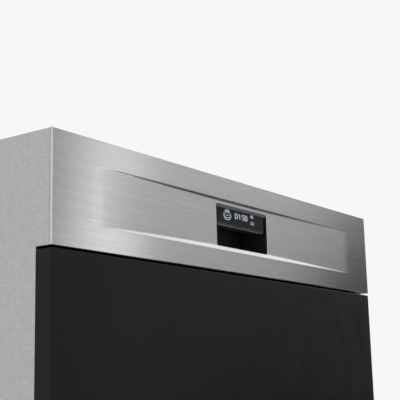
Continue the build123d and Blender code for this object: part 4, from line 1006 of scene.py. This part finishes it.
# Camera, light and stage, in metres

# The photograph's solved viewpoint: yaw, pitch and roll in degrees, the eye, and the focal length in pixels
VIEW_ANGLES = (54.525, 11.523, -1.388)
EYE = (-0.8602, -0.8382, 0.5907)
FOCAL_PIXELS = 943.5
PICTURE_PIXELS = 400
SENSOR_MM = 36.0
# The world's level where the camera and gloss see it, and where it lights the rest
PALE_BACK = 0.93
SOFT_LIGHT = 0.9
FLOOR_HALF = 12.0
# A colour ramp holds 0 to 1, so the cards' values are stored as (value + offset) / RAMP_SPAN
RAMP_SPAN = 4.0
RISE_OFFSET = 2.0
LEAST_GLOW = 0.02
MOST_GLOW = 1.3
# The graded card's paint: place along X, level at CARD_MIDDLE, rise of the level per metre of height
CARD_MIDDLE = 1.18
CARD_Y = -1.6
CARD_Z = (0.02, 2.45)
CARD_STOPS = [
    (0.70, 0.30, 0.0), (1.02, 0.30, 0.0), (1.12, 0.66, -0.15), (1.20, 1.12, -0.45), (1.27, 1.2, -0.6),
    (1.38, 1.12, -0.4), (1.43, 0.76, 0.0), (1.47, 0.57, 0.27), (1.84, 0.56, 0.4), (2.25, 0.51, 0.4),
    (2.58, 0.35, 0.6), (2.75, 0.22, 1.1), (2.87, 0.11, 1.3), (3.01, 0.03, 1.2), (3.32, 0.02, 0.8),
    (4.75, 0.02, 0.4),
]
DARK_X = 0.75
DARK_Y = (-0.9, -0.33)
DARK_Z = (0.0, 0.55)
DARK_STOPS = [(0.0, 0.04, 0.0), (1.0, 0.04, 0.0)]


def camera():
    """The photograph's viewpoint, solved from the corners and seams of the front."""
    yaw, pitch, roll = (math.radians(a) for a in VIEW_ANGLES)
    forward = Vector((math.sin(yaw) * math.cos(pitch), math.cos(yaw) * math.cos(pitch), math.sin(pitch)))
    right = Vector((math.cos(yaw), -math.sin(yaw), 0))
    up = right.cross(forward)
    turned_right = math.cos(roll) * right + math.sin(roll) * up
    turned_up = math.cos(roll) * up - math.sin(roll) * right
    data = bpy.data.cameras.new("camera")
    data.sensor_width = SENSOR_MM
    data.lens = FOCAL_PIXELS / PICTURE_PIXELS * SENSOR_MM
    data.clip_start = 0.01
    eye = placed("camera", data)
    place = Matrix((turned_right, turned_up, -forward)).transposed().to_4x4()
    place.translation = Vector(EYE)
    eye.matrix_world = place
    bpy.context.scene.camera = eye


def area_light(name, place, target, size, radiance):
    """A softbox that the camera doesn't see."""
    data = bpy.data.lights.new(name, "AREA")
    data.shape = "RECTANGLE"
    data.size, data.size_y = size
    data.energy = radiance * math.pi * size[0] * size[1]
    lamp = placed(name, data)
    lamp.location = place
    lamp.rotation_mode = "QUATERNION"
    lamp.rotation_quaternion = (Vector(target) - Vector(place)).to_track_quat("-Z", "Y")
    lamp.visible_camera = False


def sheet(name, corners, material):
    """A four-cornered sheet of the stage."""
    mesh = bpy.data.meshes.new(name)
    mesh.from_pydata(corners, [], [(0, 1, 2, 3)])
    mesh.materials.append(material)
    return placed(name, mesh)


def card(name, corners, paint):
    """A studio card that only reflections show."""
    obj = sheet(name, corners, paint)
    obj.visible_camera = False
    obj.visible_diffuse = False
    obj.visible_shadow = False
    obj.visible_transmission = False


def glow(name, low, high, stops):
    """Card paint graded along X from low to high and with height, after stops like CARD_STOPS."""
    paint = bpy.data.materials.new(name)
    paint.use_nodes = True
    tree = paint.node_tree
    tree.nodes.clear()
    place = tree.nodes.new("ShaderNodeTexCoord")
    split = tree.nodes.new("ShaderNodeSeparateXYZ")
    tree.links.new(place.outputs["Object"], split.inputs[0])
    along = tree.nodes.new("ShaderNodeMapRange")
    tree.links.new(split.outputs["X"], along.inputs["Value"])
    along.inputs["From Min"].default_value = low
    along.inputs["From Max"].default_value = high
    values = []
    for column, offset in ((1, 0.0), (2, RISE_OFFSET)):
        ramp = tree.nodes.new("ShaderNodeValToRGB")
        points = ramp.color_ramp.elements
        while len(points) < len(stops):
            points.new(0.5)
        for point, stop in zip(points, stops):
            point.position = (stop[0] - low) / (high - low)
            stored = (stop[column] + offset) / RAMP_SPAN
            point.color = (stored, stored, stored, 1)
        tree.links.new(along.outputs[0], ramp.inputs["Fac"])
        stored = ramp.outputs["Color"]
        values.append(calculated(tree, "ShaderNodeMath", "MULTIPLY_ADD", stored, RAMP_SPAN, -offset)[0])
    level, rise = values
    height = calculated(tree, "ShaderNodeMath", "SUBTRACT", split.outputs["Z"], CARD_MIDDLE)[0]
    total = calculated(tree, "ShaderNodeMath", "MULTIPLY_ADD", height, rise, level)[0]
    keep = tree.nodes.new("ShaderNodeClamp")
    tree.links.new(total, keep.inputs["Value"])
    keep.inputs["Min"].default_value = LEAST_GLOW
    keep.inputs["Max"].default_value = MOST_GLOW
    light = tree.nodes.new("ShaderNodeEmission")
    tree.links.new(keep.outputs[0], light.inputs["Strength"])
    out = tree.nodes.new("ShaderNodeOutputMaterial")
    tree.links.new(light.outputs[0], out.inputs["Surface"])
    return paint


def pale_surround():
    """A world that the camera, metal and glass see as a pale backdrop, and that lights the rest softly."""
    world = bpy.data.worlds.new("surround")
    bpy.context.scene.world = world
    world.use_nodes = True
    tree = world.node_tree
    soft = tree.nodes["Background"]
    soft.inputs["Color"].default_value = (SOFT_LIGHT, SOFT_LIGHT, SOFT_LIGHT, 1)
    pale = tree.nodes.new("ShaderNodeBackground")
    pale.inputs["Color"].default_value = (PALE_BACK, PALE_BACK, PALE_BACK, 1)
    path = tree.nodes.new("ShaderNodeLightPath")
    seen = path.outputs["Is Camera Ray"]
    for ray in ("Is Glossy Ray", "Is Transmission Ray"):
        seen = calculated(tree, "ShaderNodeMath", "MAXIMUM", seen, path.outputs[ray])[0]
    mix = tree.nodes.new("ShaderNodeMixShader")
    tree.links.new(seen, mix.inputs["Fac"])
    tree.links.new(soft.outputs[0], mix.inputs[1])
    tree.links.new(pale.outputs[0], mix.inputs[2])
    tree.links.new(mix.outputs[0], tree.nodes["World Output"].inputs["Surface"])


def stage():
    """A pale floor, a pale surround, soft lamps, and cards that shape the steel's reflections."""
    ground = Finish("pale_floor", (0.88, 0.88, 0.87), 0.7)
    ground.tint(ground.noise([1.5] * 3), dark=0.98, light=1.02)
    corners = [(x * FLOOR_HALF, y * FLOOR_HALF, 0) for x, y in ((-1, -1), (1, -1), (1, 1), (-1, 1))]
    sheet("floor", corners, ground.material)
    pale_surround()
    area_light("top_softbox", (-0.6, -1.6, 2.6), target=(0, 0, 0.5), size=(1.6, 1.2), radiance=1.2)
    area_light("right_softbox", (1.9, -0.3, 2.35), target=(0, -0.3, 0.75), size=(1.4, 1.2), radiance=0.6)
    start, end = CARD_STOPS[0][0], CARD_STOPS[-1][0]
    low, high = CARD_Z
    corners = [(start, CARD_Y, low), (end, CARD_Y, low), (end, CARD_Y, high), (start, CARD_Y, high)]
    card("graded_card", corners, glow("graded_card", start, end, CARD_STOPS))
    (near, far), (low, high) = DARK_Y, DARK_Z
    corners = [(DARK_X, near, low), (DARK_X, far, low), (DARK_X, far, high), (DARK_X, near, high)]
    card("dark_card", corners, glow("dark_card", 0.0, 1.0, DARK_STOPS))


# CAD nodes that stay, with their finish and softened edges

NODE_FINISH = {
    "black_lacquer": PANEL, "black_plastic": BLACK, "grey_plastic": GREY, "zinc_steel": ZINC,
    "tub_steel": TUB, "spring_steel": SPRING, "button_plastic": SATIN, "cap_plastic": BLUE,
    "foot_plastic": PLATED, "gasket_rubber": RUBBER, "coated_wire": COAT, "circuit_board": BOARD,
    "fascia_steel": FASCIA, "display_glass": GLASS,
}
OWN_FINISH = {"door_liner": LINER, "filter_plate": SIEVE, "filter_cylinder": MESH, "detergent_lid": PALE}
# Bevel widths in millimetres, and the angle from which an edge gets one
EASED = {
    "furniture_panel": 0.5, "top_cover": 0.4, "dispenser_body": 0.6, "detergent_lid": 0.6,
    "rinse_cap": 0.5, "salt_cap": 0.5, "door_liner": 0.5,
}
EASE_ANGLE = 40
WELD_DISTANCE = 0.01


def dress_nodes():
    """Gives each CAD node its finish, and some a narrow bevel that catches light."""
    slots = {s["node"]: s["material_slot"] for s in frame["record"]["subparts"]}
    for name, obj in nodes.items():
        finish = OWN_FINISH.get(name, NODE_FINISH[slots[name]])
        obj.data.materials.clear()
        obj.data.materials.append(finish)
        obj.data.polygons.foreach_set("material_index", [0] * len(obj.data.polygons))
        if name in EASED:
            weld = obj.modifiers.new("weld", "WELD")
            weld.merge_threshold = WELD_DISTANCE * MM
            ease = obj.modifiers.new("ease", "BEVEL")
            ease.width = EASED[name] * MM
            ease.segments = 2
            ease.limit_method = "ANGLE"
            ease.angle_limit = math.radians(EASE_ANGLE)
            ease.harden_normals = True


dress_nodes()
fascia()
display()
lower_rack()
upper_rack()
cutlery_tray()
spray_arm("lower_arm_blade", "lower_spray_arm", "arm_lower", hub_up=False)
spray_arm("upper_arm_blade", "upper_spray_arm", "arm_upper", hub_up=True)
wheels()
gasket()
springs()
key_marks()
screws()
camera()
stage()

view = bpy.context.scene.view_settings
view.view_transform = "Standard"
